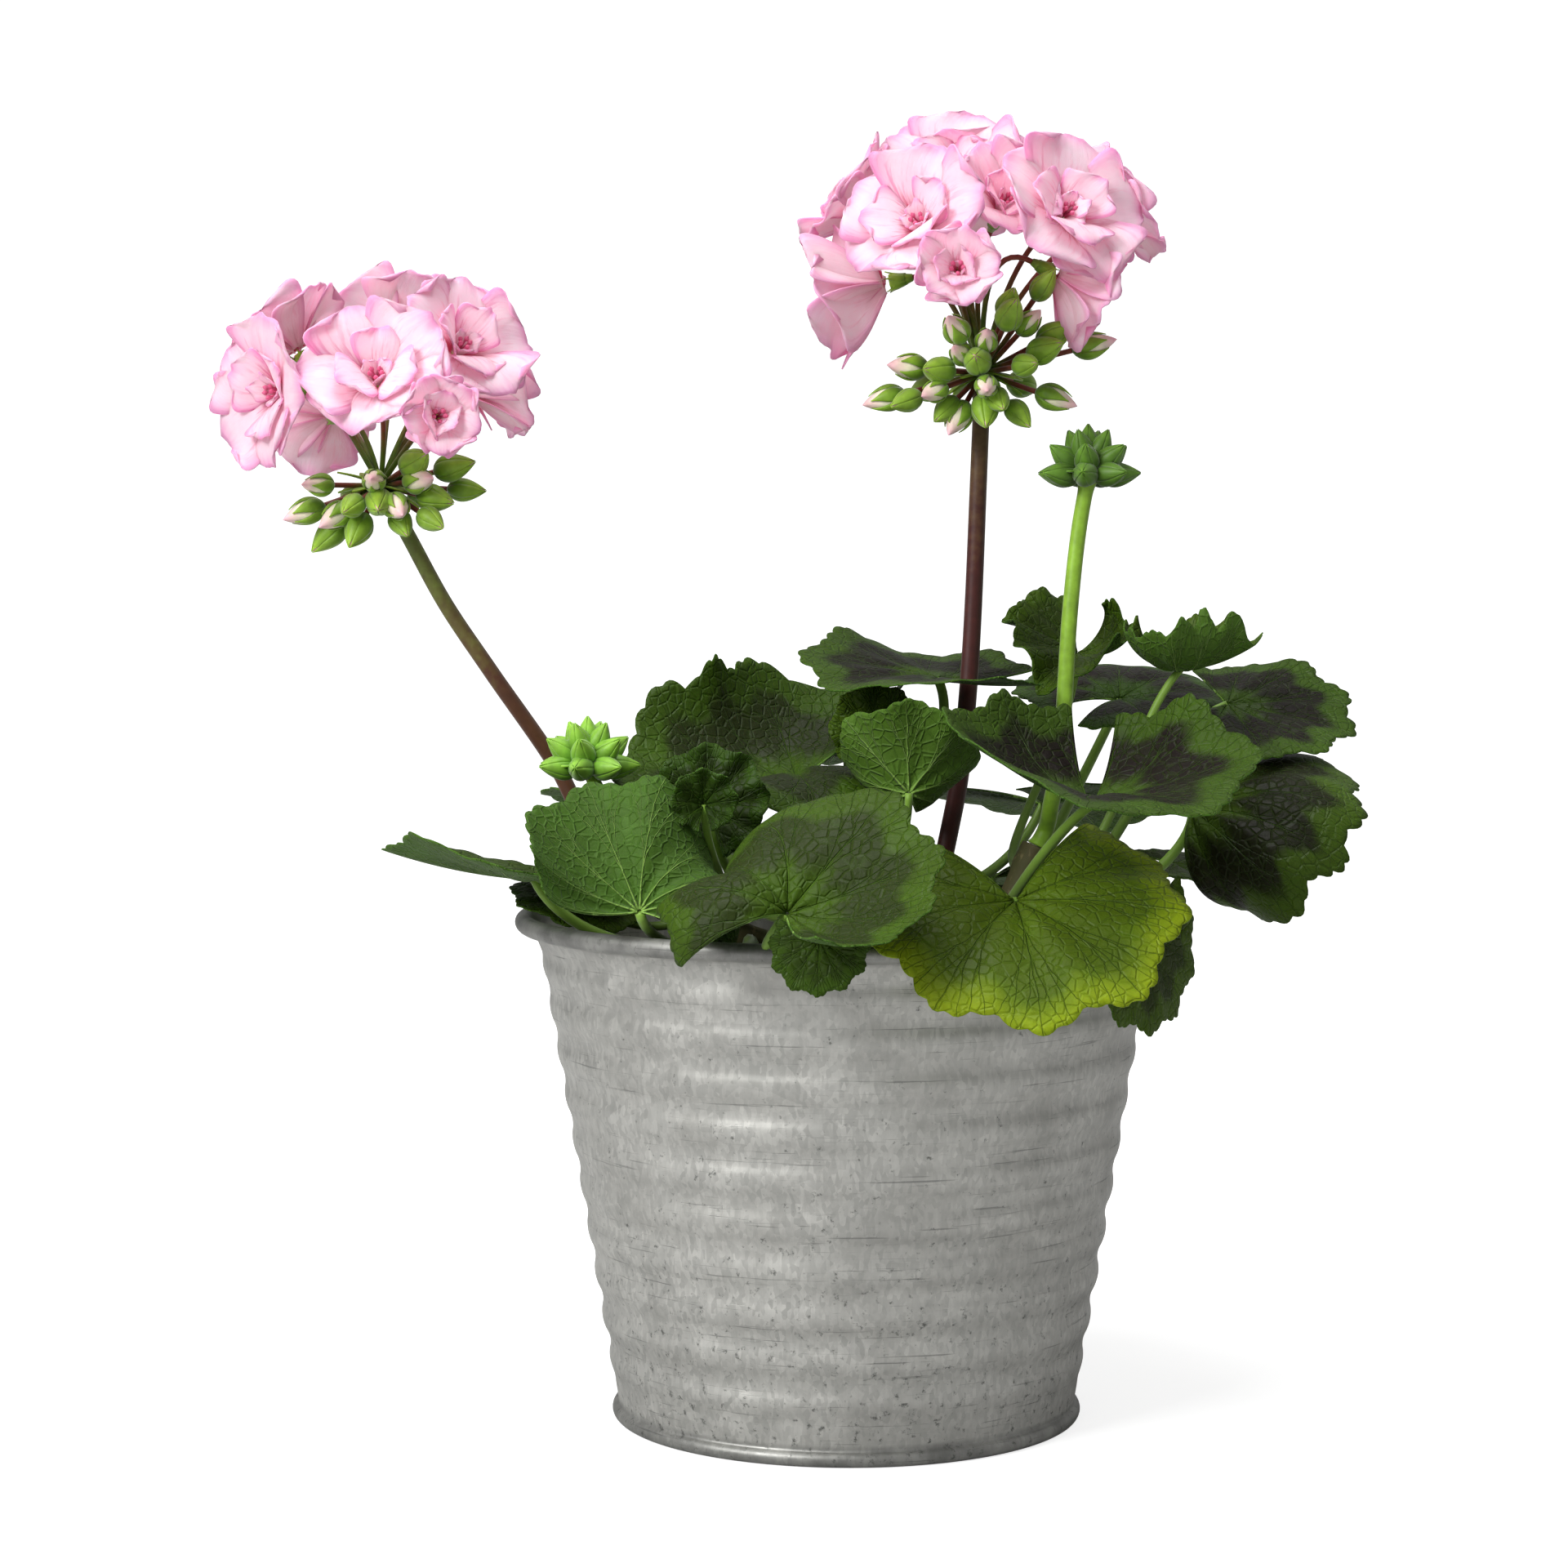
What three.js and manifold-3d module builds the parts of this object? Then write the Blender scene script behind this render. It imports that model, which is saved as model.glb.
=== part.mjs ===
// Potted zonal geranium with semi-double pink blooms in a ribbed zinc pot.
// Millimetres, +Z up. The origin is the centre of the pot's base, on the table.
// The front of the plant, with its biggest hanging leaf, faces -Y.

import * as THREE from 'three';
import { mergeVertices } from 'three/addons/utils/BufferGeometryUtils.js';
import Module from 'manifold-3d';

const wasm = await Module();
wasm.setup();

// Driving dimensions of the pot
const POT_HEIGHT = 113.5;
const WALL_FOOT_RADIUS = 51.4;
const WALL_TOP_RADIUS = 68;
const WALL_TOP = 105;
const WALL_SHEET = 1.1;
const RIB_COUNT = 10;
const RIB_HEIGHT = 0.45;
const RIB_FIRST = 12.7;
const RIB_PITCH = 9.9;
const LIP_RADIUS = 74;
const FOOT_BEAD_RADIUS = 52.6;
const FOOT_BEAD_HEIGHT = 4.6;
const POT_SIDES = 32;

// Driving dimensions of the soil and the woody stems
const SOIL_LEVEL = 98;
const SOIL_LUMP = 1.4;
const TRUNK_RADIUS = 5.5;
const TRUNK_FOOT = 74;
const TRUNK_X = 2;
const FORK = SOIL_LEVEL + 5;
const BRANCH_RADIUS = 3.6;
const CLEARANCE = 0.35;

// Driving dimensions of the leaves
const LOBE_ANGLE = 0.715;
const BLADE_HALF_SPAN = 2.9;
const BLADE_THICKNESS = 0.7;
const LOBE_DEPTH = 0.045;
const TOOTH_DEPTH = 0.04;
const PETIOLE_RADIUS = 1.25;

// Driving dimensions of the flowers
const PETAL_THICKNESS = 0.62;
const PEDUNCLE_RADIUS = 2.1;
const PEDICEL_RADIUS = 0.75;
const BUD_LENGTH = 10.5;
const BUD_GIRTH = 0.3;
const BRACT_COUNT = 5;
const CALYX_RADIUS = 2.2;
const CALYX_HEIGHT = 5.5;
const THROAT_RADIUS = 0.8;
const THROAT_GAP = 1.2;
const PETAL_CURL = 30;
const PETAL_FILL = 0.93;
const PETAL_LAP = 0.12;
const PETAL_CUP = 0.3;
const PETAL_WAVE = 1.2;
const INNER_PETAL_SIZE = 0.58;
// Outline of a petal as share of its length and half-width over its length; the first row is the valley
const OUTER_PETAL_ROWS = [[0.12, 0], [0.62, -0.41], [0.62, 0], [0.62, 0.41], [1, -0.24], [1, 0.24]];
const INNER_PETAL_ROWS = [[0.14, 0], [1, -0.36], [1, 0.36]];

const vector = (x, y, z) => new THREE.Vector3(x, y, z);
const radians = THREE.MathUtils.degToRad;

// A small seeded random source, so that every build gives the same plant
function seededRandom(seed) {
  let state = seed;
  return () => {
    state = (state * 1664525 + 1013904223) % 4294967296;
    return state / 4294967296;
  };
}

// Solids from closed geometries, joined and cut, and back again

function toSolid(geometry) {
  const bare = geometry.clone();
  for (const name of Object.keys(bare.attributes)) if (name !== 'position') bare.deleteAttribute(name);
  const merged = mergeVertices(bare, 1e-4);
  const corners = merged.index.array;
  const kept = [];
  for (let i = 0; i < corners.length; i += 3) {
    const [a, b, c] = corners.slice(i, i + 3);
    if (a !== b && b !== c && c !== a) kept.push(a, b, c);
  }
  return new wasm.Manifold(new wasm.Mesh({
    numProp: 3,
    vertProperties: new Float32Array(merged.attributes.position.array),
    triVerts: new Uint32Array(kept),
  }));
}

// The biggest body of a join, without the loose scraps and the hollows that the join sealed
function oneBody(solid) {
  const bodies = solid.decompose();
  return bodies.reduce((best, body) => (body.volume() > best.volume() ? body : best));
}

function joinAll(solids) {
  return oneBody(solids.reduce((whole, next) => whole.add(next)));
}

function toGeometry(solid) {
  const mesh = solid.getMesh();
  const geometry = new THREE.BufferGeometry();
  geometry.setAttribute('position', new THREE.BufferAttribute(new Float32Array(mesh.vertProperties), 3));
  geometry.setIndex(new THREE.BufferAttribute(new Uint32Array(mesh.triVerts), 1));
  geometry.computeVertexNormals();
  return geometry;
}

// Turns a surface into a blade of even thickness: both faces split alike, with a wall along the edge
function thicken(points, triangles, thickness) {
  const surface = new THREE.BufferGeometry().setFromPoints(points);
  surface.setIndex(triangles.flat());
  surface.computeVertexNormals();
  const normals = surface.attributes.normal;
  const count = points.length;
  const upper = points.map((p, i) => p.clone().addScaledVector(
    vector().fromBufferAttribute(normals, i), thickness / 2));
  const lower = points.map((p, i) => p.clone().addScaledVector(
    vector().fromBufferAttribute(normals, i), -thickness / 2));
  const faces = [];
  const edges = new Map();
  for (const [a, b, c] of triangles) {
    faces.push(a, b, c, c + count, b + count, a + count);
    for (const [from, to] of [[a, b], [b, c], [c, a]]) {
      if (!edges.delete(`${to},${from}`)) edges.set(`${from},${to}`, [from, to]);
    }
  }
  for (const [from, to] of edges.values()) {
    faces.push(to, from, from + count, to, from + count, to + count);
  }
  const geometry = new THREE.BufferGeometry().setFromPoints([...upper, ...lower]);
  geometry.setIndex(faces);
  return toSolid(geometry);
}

// A round rod along a curve
function rod(curve, radius, sides, steps) {
  const section = new THREE.Shape();
  for (let i = 0; i < sides; i += 1) {
    const angle = (2 * Math.PI * i) / sides;
    const put = i === 0 ? 'moveTo' : 'lineTo';
    section[put](radius * Math.cos(angle), radius * Math.sin(angle));
  }
  return toSolid(new THREE.ExtrudeGeometry(section, { steps, bevelEnabled: false, extrudePath: curve }));
}

// A turned body whose profile is a list of [radius, height], standing at a place along a direction
function turned(profile, sides, place = vector(0, 0, 0), direction = vector(0, 0, 1)) {
  const geometry = new THREE.LatheGeometry(profile.map(([r, h]) => new THREE.Vector2(r, h)), sides);
  const turn = new THREE.Quaternion().setFromUnitVectors(vector(0, 1, 0), direction.clone().normalize());
  geometry.applyQuaternion(turn);
  geometry.translate(place.x, place.y, place.z);
  return toSolid(geometry);
}

// The pot: a ribbed sheet wall with a rolled lip and a foot bead, and a stamped base let into it

function wallRadius(height) {
  const part = (height - FOOT_BEAD_HEIGHT) / (WALL_TOP - FOOT_BEAD_HEIGHT);
  return THREE.MathUtils.lerp(WALL_FOOT_RADIUS, WALL_TOP_RADIUS, part);
}

function ribbedOutside() {
  const line = [];
  for (let i = 0; i < 2 * RIB_COUNT - 1; i += 1) {
    const height = RIB_FIRST + (i * RIB_PITCH) / 2;
    const swell = i % 2 === 0 ? RIB_HEIGHT : -RIB_HEIGHT;
    line.push([wallRadius(height) + swell, height]);
  }
  return line;
}

function potWall() {
  const insideFoot = WALL_FOOT_RADIUS - WALL_SHEET;
  const profile = [
    [insideFoot, 0], [FOOT_BEAD_RADIUS - 0.8, 0], [FOOT_BEAD_RADIUS, 1.6], [FOOT_BEAD_RADIUS - 0.4, 3.2],
    [WALL_FOOT_RADIUS, FOOT_BEAD_HEIGHT],
    ...ribbedOutside(),
    [WALL_TOP_RADIUS, WALL_TOP], [LIP_RADIUS - 2.6, WALL_TOP + 4.2], [LIP_RADIUS - 0.6, WALL_TOP + 5],
    [LIP_RADIUS, WALL_TOP + 6.4], [LIP_RADIUS - 0.9, POT_HEIGHT - 0.3], [LIP_RADIUS - 2.4, POT_HEIGHT],
    [LIP_RADIUS - 3.8, POT_HEIGHT - 1.4], [WALL_TOP_RADIUS - WALL_SHEET, WALL_TOP - 0.4],
    [insideFoot, FOOT_BEAD_HEIGHT],
    [insideFoot, 0],
  ];
  return turned(profile, POT_SIDES);
}

function potBase() {
  const rim = WALL_FOOT_RADIUS - WALL_SHEET - CLEARANCE;
  const profile = [
    [0, 0], [40, 0], [42, 1.2], [rim, 0.8], [rim, 3.6], [rim - 1.2, 3.6], [rim - 1.4, 2.1],
    [41.4, 2.4], [39.4, 1], [0, 1],
  ];
  return turned(profile, POT_SIDES);
}

// Peat-based compost filling the pot, lumpy on top, with a plain hole round the trunk
function soilBody() {
  const random = seededRandom(41);
  const sides = 24;
  const rings = [0.22, 0.45, 0.68, 0.88, 1];
  const topRadius = wallRadius(SOIL_LEVEL) - WALL_SHEET - CLEARANCE - 0.3;
  const footRadius = wallRadius(FOOT_BEAD_HEIGHT) - WALL_SHEET - CLEARANCE - 2;
  const points = [vector(0, 0, SOIL_LEVEL)];
  const ring = (radius, height, lump) => {
    for (let i = 0; i < sides; i += 1) {
      const angle = (2 * Math.PI * i) / sides;
      const lift = lump * (random() - 0.5);
      points.push(vector(radius * Math.cos(angle), radius * Math.sin(angle), height + lift));
    }
  };
  for (const share of rings) ring(topRadius * share, SOIL_LEVEL, share < 1 ? 2 * SOIL_LUMP : SOIL_LUMP);
  ring(footRadius, FOOT_BEAD_HEIGHT, 0);
  points.push(vector(0, 0, FOOT_BEAD_HEIGHT));
  const faces = [];
  const last = points.length - 1;
  const bands = rings.length;
  for (let i = 0; i < sides; i += 1) {
    const next = (i + 1) % sides;
    faces.push(0, 1 + i, 1 + next);
    for (let band = 0; band < bands; band += 1) {
      const inner = 1 + band * sides;
      const outer = inner + sides;
      faces.push(inner + i, outer + i, outer + next, inner + i, outer + next, inner + next);
    }
    faces.push(last, 1 + bands * sides + next, 1 + bands * sides + i);
  }
  const geometry = new THREE.BufferGeometry().setFromPoints(points);
  geometry.setIndex(faces);
  const hole = turned([[0, TRUNK_FOOT - CLEARANCE], [TRUNK_RADIUS + CLEARANCE, TRUNK_FOOT - CLEARANCE],
    [TRUNK_RADIUS + CLEARANCE, SOIL_LEVEL + 8], [0, SOIL_LEVEL + 8]], 12, vector(TRUNK_X, 0, 0));
  return oneBody(toSolid(geometry).subtract(hole));
}

// The stems: a short trunk in the soil that forks low into four branches

const branches = {
  left: new THREE.CatmullRomCurve3([
    vector(TRUNK_X, 0, FORK), vector(-14, -5, 105), vector(-30, -9, 112), vector(-39, -8, 126)]),
  right: new THREE.CatmullRomCurve3([
    vector(TRUNK_X, 0, FORK), vector(18, -6, 105), vector(34, -8, 113), vector(42, -6, 128)]),
  centre: new THREE.CatmullRomCurve3([
    vector(TRUNK_X, 0, FORK), vector(3, 4, 112), vector(0, 5, 122), vector(2, 6, 134)]),
  back: new THREE.CatmullRomCurve3([
    vector(TRUNK_X, 0, FORK), vector(6, 16, 105), vector(9, 30, 113), vector(11, 36, 126)]),
};

function stemBody() {
  const trunk = turned([[0, TRUNK_FOOT], [TRUNK_RADIUS * 0.7, TRUNK_FOOT], [TRUNK_RADIUS, TRUNK_FOOT + 6],
    [TRUNK_RADIUS, FORK + 1], [TRUNK_RADIUS * 0.5, FORK + 4], [0, FORK + 4]], 10, vector(TRUNK_X, 0, 0));
  const limbs = Object.values(branches).map((curve) => rod(curve, BRANCH_RADIUS, 7, 5));
  return joinAll([trunk, ...limbs]);
}

// Where a stalk springs from a branch: a place just off its bark, and the way straight out from it.
// At the tip of the branch it stands on its end.
function spring(branchName, part, towards) {
  const branch = branches[branchName];
  const place = branch.getPoint(part);
  const along = branch.getTangent(part);
  if (part === 1) return { root: place.addScaledVector(along, CLEARANCE), out: along };
  const out = towards.clone().sub(place);
  out.addScaledVector(along, -out.dot(along)).normalize();
  return { root: place.addScaledVector(out, BRANCH_RADIUS + CLEARANCE), out };
}

// A zonal leaf: a round blade with seven lobes and a scalloped edge, open at its stalk.
// at is where stalk and blade meet, midrib points along the middle lobe and face is the upper side.
// rise gives each lobe's slope in degrees, from the right of the midrib to its left.

function throughSeven(values, x) {
  const place = THREE.MathUtils.clamp(x + 3, 0, 5.999999);
  const i = Math.floor(place);
  const t = place - i;
  const [a, b, c, d] = [i - 1, i, i + 1, i + 2].map((k) => values[THREE.MathUtils.clamp(k, 0, 6)]);
  return 0.5 * (2 * b + (c - a) * t + (2 * a - 5 * b + 4 * c - d) * t * t + (3 * b - a - 3 * c + d) * t ** 3);
}

function leafAxes(leaf) {
  const midrib = vector(...leaf.midrib).normalize();
  const face = vector(...leaf.face);
  face.addScaledVector(midrib, -face.dot(midrib)).normalize();
  return { midrib, face, left: face.clone().cross(midrib) };
}

function bladeReach(leaf, phi, tooth) {
  const shorter = 1 - (leaf.back ?? 0.25) * (Math.abs(phi) / Math.PI) ** 2.2;
  return shorter * (1 + LOBE_DEPTH * Math.cos((2 * Math.PI * phi) / LOBE_ANGLE)) * (1 + tooth * TOOTH_DEPTH);
}

function bladePoint(leaf, axes, share, phi, tooth) {
  const reach = bladeReach(leaf, phi, tooth);
  const start = radians(leaf.cup);
  const rise = radians(throughSeven(leaf.rise, phi / LOBE_ANGLE));
  const bend = (2 * (rise - start)) / reach || 1e-6;
  const r = share * reach;
  const flat = (leaf.size * (Math.sin(start + bend * r) - Math.sin(start))) / bend;
  const [waveHeight, waves] = leaf.ruffle ?? [0, 0];
  const up = (leaf.size * (Math.cos(start) - Math.cos(start + bend * r))) / bend
    + waveHeight * r ** 3 * Math.sin(waves * phi);
  const way = phi * (leaf.spread ?? 1);
  return vector(...leaf.at).addScaledVector(axes.midrib, flat * Math.cos(way))
    .addScaledVector(axes.left, flat * Math.sin(way)).addScaledVector(axes.face, up);
}

function leafBlade(leaf, axes) {
  const half = leaf.size > 24 ? 12 : leaf.size > 15 ? 9 : 7;
  const ring = (share, steps, tooth) => Array.from({ length: steps + 1 }, (_, i) => {
    const phi = THREE.MathUtils.lerp(-BLADE_HALF_SPAN, BLADE_HALF_SPAN, i / steps);
    return bladePoint(leaf, axes, share, phi, tooth * ((i % 2) * 2 - 1));
  });
  const points = [vector(...leaf.at), ...ring(0.5, half, 0), ...ring(1, 2 * half, 1)];
  const triangles = [];
  for (let i = 0; i < half; i += 1) {
    const inner = 1 + i;
    const outer = 2 + half + 2 * i;
    triangles.push([0, inner, inner + 1], [inner, outer, outer + 1], [inner, outer + 1, inner + 1],
      [inner + 1, outer + 1, outer + 2]);
  }
  return thicken(points, triangles, BLADE_THICKNESS);
}

function leafBody(leaf) {
  const axes = leafAxes(leaf);
  const at = vector(...leaf.at);
  const { root, out } = spring(leaf.branch, leaf.part, vector(...leaf.at));
  const length = root.distanceTo(at);
  const arrive = leaf.arrive ? vector(...leaf.arrive).normalize()
    : axes.face.clone().multiplyScalar(0.7).addScaledVector(axes.midrib, 0.5).normalize();
  const stalk = new THREE.CubicBezierCurve3(root, root.clone().addScaledVector(out, 0.3 * length),
    at.clone().addScaledVector(arrive, -0.35 * length), at);
  const radius = leaf.size > 24 ? PETIOLE_RADIUS : 0.8 * PETIOLE_RADIUS;
  return joinAll([leafBlade(leaf, axes), rod(stalk, radius, 4, 4)]);
}

const leaves = [
  { name: 'front_right', at: [34, -58, 121], midrib: [8, -60, -44], face: [0, -44, 70], size: 38,
    cup: 22, rise: [0, 8, 0, -4, 0, 8, 0], spread: 0.85, branch: 'right', part: 0.55 },
  { name: 'front_centre', at: [-13.5, -74.9, 120], midrib: [51, 71, 48], face: [40, -68, 62], size: 35,
    cup: 31, rise: [46, 46, 39, 24, -18, -57, -27], back: 0.2, spread: 0.93, branch: 'left',
    part: 0.2 },
  { name: 'front_left', at: [-43.9, -59.1, 118.9], midrib: [11, 49, 86], face: [24, 82, -52], size: 33,
    cup: -15, rise: [-53, -28, -3, 6, 44, 45, 47], spread: 0.66, branch: 'left', part: 0.5,
    arrive: [-10, -60, 60] },
  { name: 'far_left', at: [-68, -27, 123], midrib: [-98, 8, 18], face: [10, 10, 90], size: 33, cup: -6,
    rise: [5, 5, 5, 0, 8, 2, 5], back: 0.4, branch: 'left', part: 0.68 },
  { name: 'left_low', at: [-57, -6, 117], midrib: [-90, 10, 10], face: [10, -20, 90], size: 18, cup: 0,
    rise: [0, 0, 0, 0, 0, -5, -10], branch: 'left', part: 0.75 },
  { name: 'mid_right', at: [51, -42, 140], midrib: [-10, -98, 0], face: [0, -2, 90], size: 40, cup: 18,
    rise: [45, 33, 22, 3, 2, 18, 42], back: 0.36, branch: 'right', part: 0.7, arrive: [55, -65, 50] },
  { name: 'far_right', at: [75.7, -14.4, 136.6], midrib: [78, -45, 44], face: [-60, -32, 73], size: 40,
    cup: 5, rise: [-70, -38, -35, -32, -31, -25, -18], back: 0.3, spread: 0.68, branch: 'right',
    part: 0.75 },
  { name: 'right_mid', at: [86, 10, 159], midrib: [85, -20, -18], face: [10, -35, 90], size: 29, cup: 6,
    rise: [0, 0, 0, 0, 5, 10, 0], back: 0.4, spread: 0.75, branch: 'right', part: 0.85,
    arrive: [80, 0, 30] },
  { name: 'right_top', at: [74, -4, 167.6], midrib: [36, -91, -22], face: [-3, -24, 97], size: 20,
    cup: 1, rise: [40, 41, 46, 59, 46, 17, 30], ruffle: [2, 10], spread: 0.89, branch: 'right',
    part: 0.95, arrive: [55, 0, 60] },
  { name: 'top_right', at: [52.7, 17.8, 170.4], midrib: [-38, -83, -41], face: [23, -52, 82], size: 20,
    cup: 21, rise: [22, 15, 18, 0, 43, 51, 77], ruffle: [2, 10], spread: 0.9, branch: 'right',
    part: 0.9, arrive: [0, 0, 1] },
  { name: 'back_right_dark', at: [64, 34, 159], midrib: [40, 40, 10], face: [0, -30, 90], size: 28,
    cup: 20, rise: [0, 0, 0, 0, 0, 0, 0], branch: 'right', part: 0.8 },
  { name: 'top_left', at: [20.2, -3, 165.3], midrib: [-99, 1, 16], face: [-2, -4, 100], size: 31,
    cup: 4, rise: [13, 5, 13, 0, -8, 0, 8], spread: 0.94, branch: 'centre', part: 0.95 },
  { name: 'centre_light', at: [12.9, -28.4, 141.6], midrib: [-4, -22, 98], face: [0, 95, 32], size: 21,
    cup: 15, rise: [80, 48, 18, 0, 10, 40, 70], ruffle: [1.5, 8], branch: 'centre', part: 0.6,
    arrive: [0, 0, 1] },
  { name: 'centre_curl', at: [6, -8, 154], midrib: [-10, 0, 90], face: [10, -80, 10], size: 11, cup: 20,
    rise: [0, 0, 0, 0, 0, 0, 0], ruffle: [1.2, 9], branch: 'centre', part: 0.9, arrive: [0, 0, 1] },
  { name: 'left_wide', at: [-11.2, 6.9, 142.4], midrib: [-89, 27, -38], face: [-36, 10, 93], size: 42,
    cup: 13, rise: [21, 55, 69, 53, 19, 8, -24], spread: 0.91, branch: 'centre', part: 0.6,
    arrive: [-55, 0, 85] },
  { name: 'young_ruffled', at: [-30, -31, 138.6], midrib: [-5, 0, 90], face: [0, -90, 10], size: 14,
    cup: 18, rise: [20, 10, 0, 0, 0, 10, 20], ruffle: [2, 10], branch: 'left', part: 0.6,
    arrive: [0, 40, 90] },
  { name: 'tiny', at: [-31, -40, 140], midrib: [-3, 1, 100], face: [1, -82, 57], size: 9, cup: 40,
    rise: [40, 30, 30, 30, 30, 30, 40], ruffle: [1.2, 9], branch: 'left', part: 0.66,
    arrive: [0, 0, 1] },
  { name: 'right_low', at: [74, 8, 123], midrib: [90, -5, -10], face: [0, -10, 90], size: 18, cup: 4,
    rise: [0, 0, 0, 0, 0, 0, 0], spread: 0.8, branch: 'right', part: 0.5 },
  { name: 'hang_right', at: [61, -45, 115.6], midrib: [8, -6, -90], face: [79, -61, 20], size: 24,
    cup: 5, rise: [0, 0, 0, 0, 0, 0, 0], spread: 0.7, branch: 'right', part: 0.6,
    arrive: [79, -61, -3] },
  { name: 'hang_front', at: [-6.9, -77.9, 115.3], midrib: [-2, -10, -90], face: [0, -90, 10],
    size: 11.5, cup: 0, rise: [0, 0, 0, 0, 0, 0, 0], spread: 0.7, branch: 'right', part: 0.22,
    arrive: [0, -90, 0] },
  { name: 'back_left', at: [-39, 41, 134], midrib: [-50, 60, -5], face: [0, 10, 90], size: 33, cup: 10,
    rise: [5, 5, 5, -5, 5, 5, 5], branch: 'back', part: 0.6 },
  { name: 'back_centre', at: [1, 51, 145], midrib: [-11, 99, 0], face: [0, 11, 99], size: 34, cup: 10,
    rise: [10, 5, 4, -6, 3, 5, 8], branch: 'back', part: 0.9 },
  { name: 'back_right', at: [48, 62, 133], midrib: [45, 75, -10], face: [5, 20, 90], size: 35, cup: 12,
    rise: [5, 5, 0, -10, 0, 5, 5], branch: 'back', part: 0.75 },
  { name: 'back_low_left', at: [-32, 56, 121], midrib: [-45, 70, -10], face: [-5, 20, 90], size: 33,
    cup: 15, rise: [5, 0, 0, -10, 0, 0, 5], back: 0.4, spread: 0.8, branch: 'back', part: 0.4 },
  { name: 'back_low_right', at: [36, 58, 115.5], midrib: [40, 70, -14], face: [5, 25, 90], size: 31,
    cup: 16, rise: [5, 0, 0, -10, 0, 0, 5], back: 0.4, spread: 0.8, branch: 'back', part: 0.55 },
];

// A floret: five broad outer petals round a throat, with a smaller ring of three inside them.
// at is the throat, measured from the hub of the head, and face is the way the floret looks.
// size is the length of a petal, open the slope of its chord in degrees and turn where the first one points.

function floretAxes(hub, floret) {
  const face = vector(...floret.face).normalize();
  const across = vector(0, 0, 1).cross(face).normalize();
  const throat = vector(...hub).add(vector(...floret.at));
  return { face, across, aside: face.clone().cross(across), throat };
}

function petalPoint(axes, ring, angle, share, across, wave = 0) {
  const start = radians(Math.min(ring.open + PETAL_CURL, 88));
  const bend = 2 * (radians(ring.open) - start);
  const flat = (ring.size * (Math.sin(start + bend * share) - Math.sin(start))) / bend;
  const up = (ring.size * (Math.cos(start) - Math.cos(start + bend * share))) / bend;
  const widest = (flat + THROAT_RADIUS) * Math.tan((PETAL_FILL * Math.PI) / ring.count);
  const width = THREE.MathUtils.clamp(across * ring.size, -widest, widest);
  const side = width / ring.size;
  const lift = ring.size * share * (PETAL_LAP * side + PETAL_CUP * side * side) + wave;
  const radial = axes.across.clone().multiplyScalar(Math.cos(angle))
    .addScaledVector(axes.aside, Math.sin(angle));
  return axes.throat.clone().addScaledVector(radial, flat + THROAT_RADIUS)
    .addScaledVector(axes.face, up + lift).addScaledVector(axes.face.clone().cross(radial), width);
}

function petalRing(axes, ring, random) {
  const pitch = (2 * Math.PI) / ring.count;
  const foot = axes.throat.clone().addScaledVector(axes.face, -ring.sunk);
  const points = [foot];
  const triangles = [];
  const rows = ring.rows;
  for (let i = 0; i < ring.count; i += 1) {
    const angle = ring.turn + pitch * i;
    const valley = 1 + i * rows.length;
    rows.forEach(([share, across], k) => {
      const wave = k > 0 && across !== 0 ? PETAL_WAVE * (random() - 0.5) : 0;
      points.push(k === 0 ? petalPoint(axes, ring, angle - pitch / 2, share, 0)
        : petalPoint(axes, ring, angle, share, across, wave));
    });
    const next = 1 + ((i + 1) % ring.count) * rows.length;
    triangles.push([0, valley, next]);
    if (rows.length === 6) {
      const [right, middle, left, tipRight, tipLeft] = [1, 2, 3, 4, 5].map((k) => valley + k);
      triangles.push([valley, right, middle], [valley, middle, next], [next, middle, left],
        [right, tipRight, middle], [middle, tipRight, tipLeft], [middle, tipLeft, left]);
    } else {
      const [right, left] = [valley + 1, valley + 2];
      triangles.push([valley, right, left], [valley, left, next]);
    }
  }
  return thicken(points, triangles, PETAL_THICKNESS);
}

function floretBody(hub, floret, random) {
  const axes = floretAxes(hub, floret);
  const outer = { count: 5, turn: radians(floret.turn), size: floret.size, open: floret.open, sunk: 0.25,
    rows: OUTER_PETAL_ROWS };
  const inner = { count: 3, turn: outer.turn + 0.6, size: INNER_PETAL_SIZE * floret.size,
    open: Math.min(floret.open + 34, 72), sunk: -0.25, rows: INNER_PETAL_ROWS };
  return petalRing(axes, outer, random).add(petalRing(axes, inner, random));
}

function pinkBloom(head) {
  const random = seededRandom(head.seed);
  return joinAll(head.florets.map((floret) => floretBody(head.hub, floret, random)));
}

// The green part of a head: its stalk, and from one hub the flower stalks with calyces and buds

function bud(base, direction, size) {
  const profile = [[0, 0], [BUD_GIRTH, 0.42], [0, 1]].map(([r, h]) => [r * size, h * size]);
  return turned(profile, 5, base, direction);
}

function thinStalk(from, to, direction, steps) {
  const half = from.distanceTo(to) / 2;
  const curve = new THREE.QuadraticBezierCurve3(from, to.clone().addScaledVector(direction, -half), to);
  return rod(curve, PEDICEL_RADIUS, 3, steps);
}

function bracts(hub, turn, drop) {
  const step = (2 * Math.PI) / BRACT_COUNT;
  return Array.from({ length: BRACT_COUNT }, (_, i) => bract(hub, turn + step * i, drop));
}

function bract(hub, angle, drop) {
  const out = vector(Math.cos(angle), Math.sin(angle), drop).normalize();
  const side = vector(-Math.sin(angle), Math.cos(angle), 0);
  const point = (along, across) => vector(...hub).addScaledVector(out, along).addScaledVector(side, across);
  return thicken([point(1, 0), point(5.5, -2), point(5.5, 2), point(10, 0)], [[0, 1, 2], [1, 3, 2]],
    PETAL_THICKNESS);
}

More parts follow.
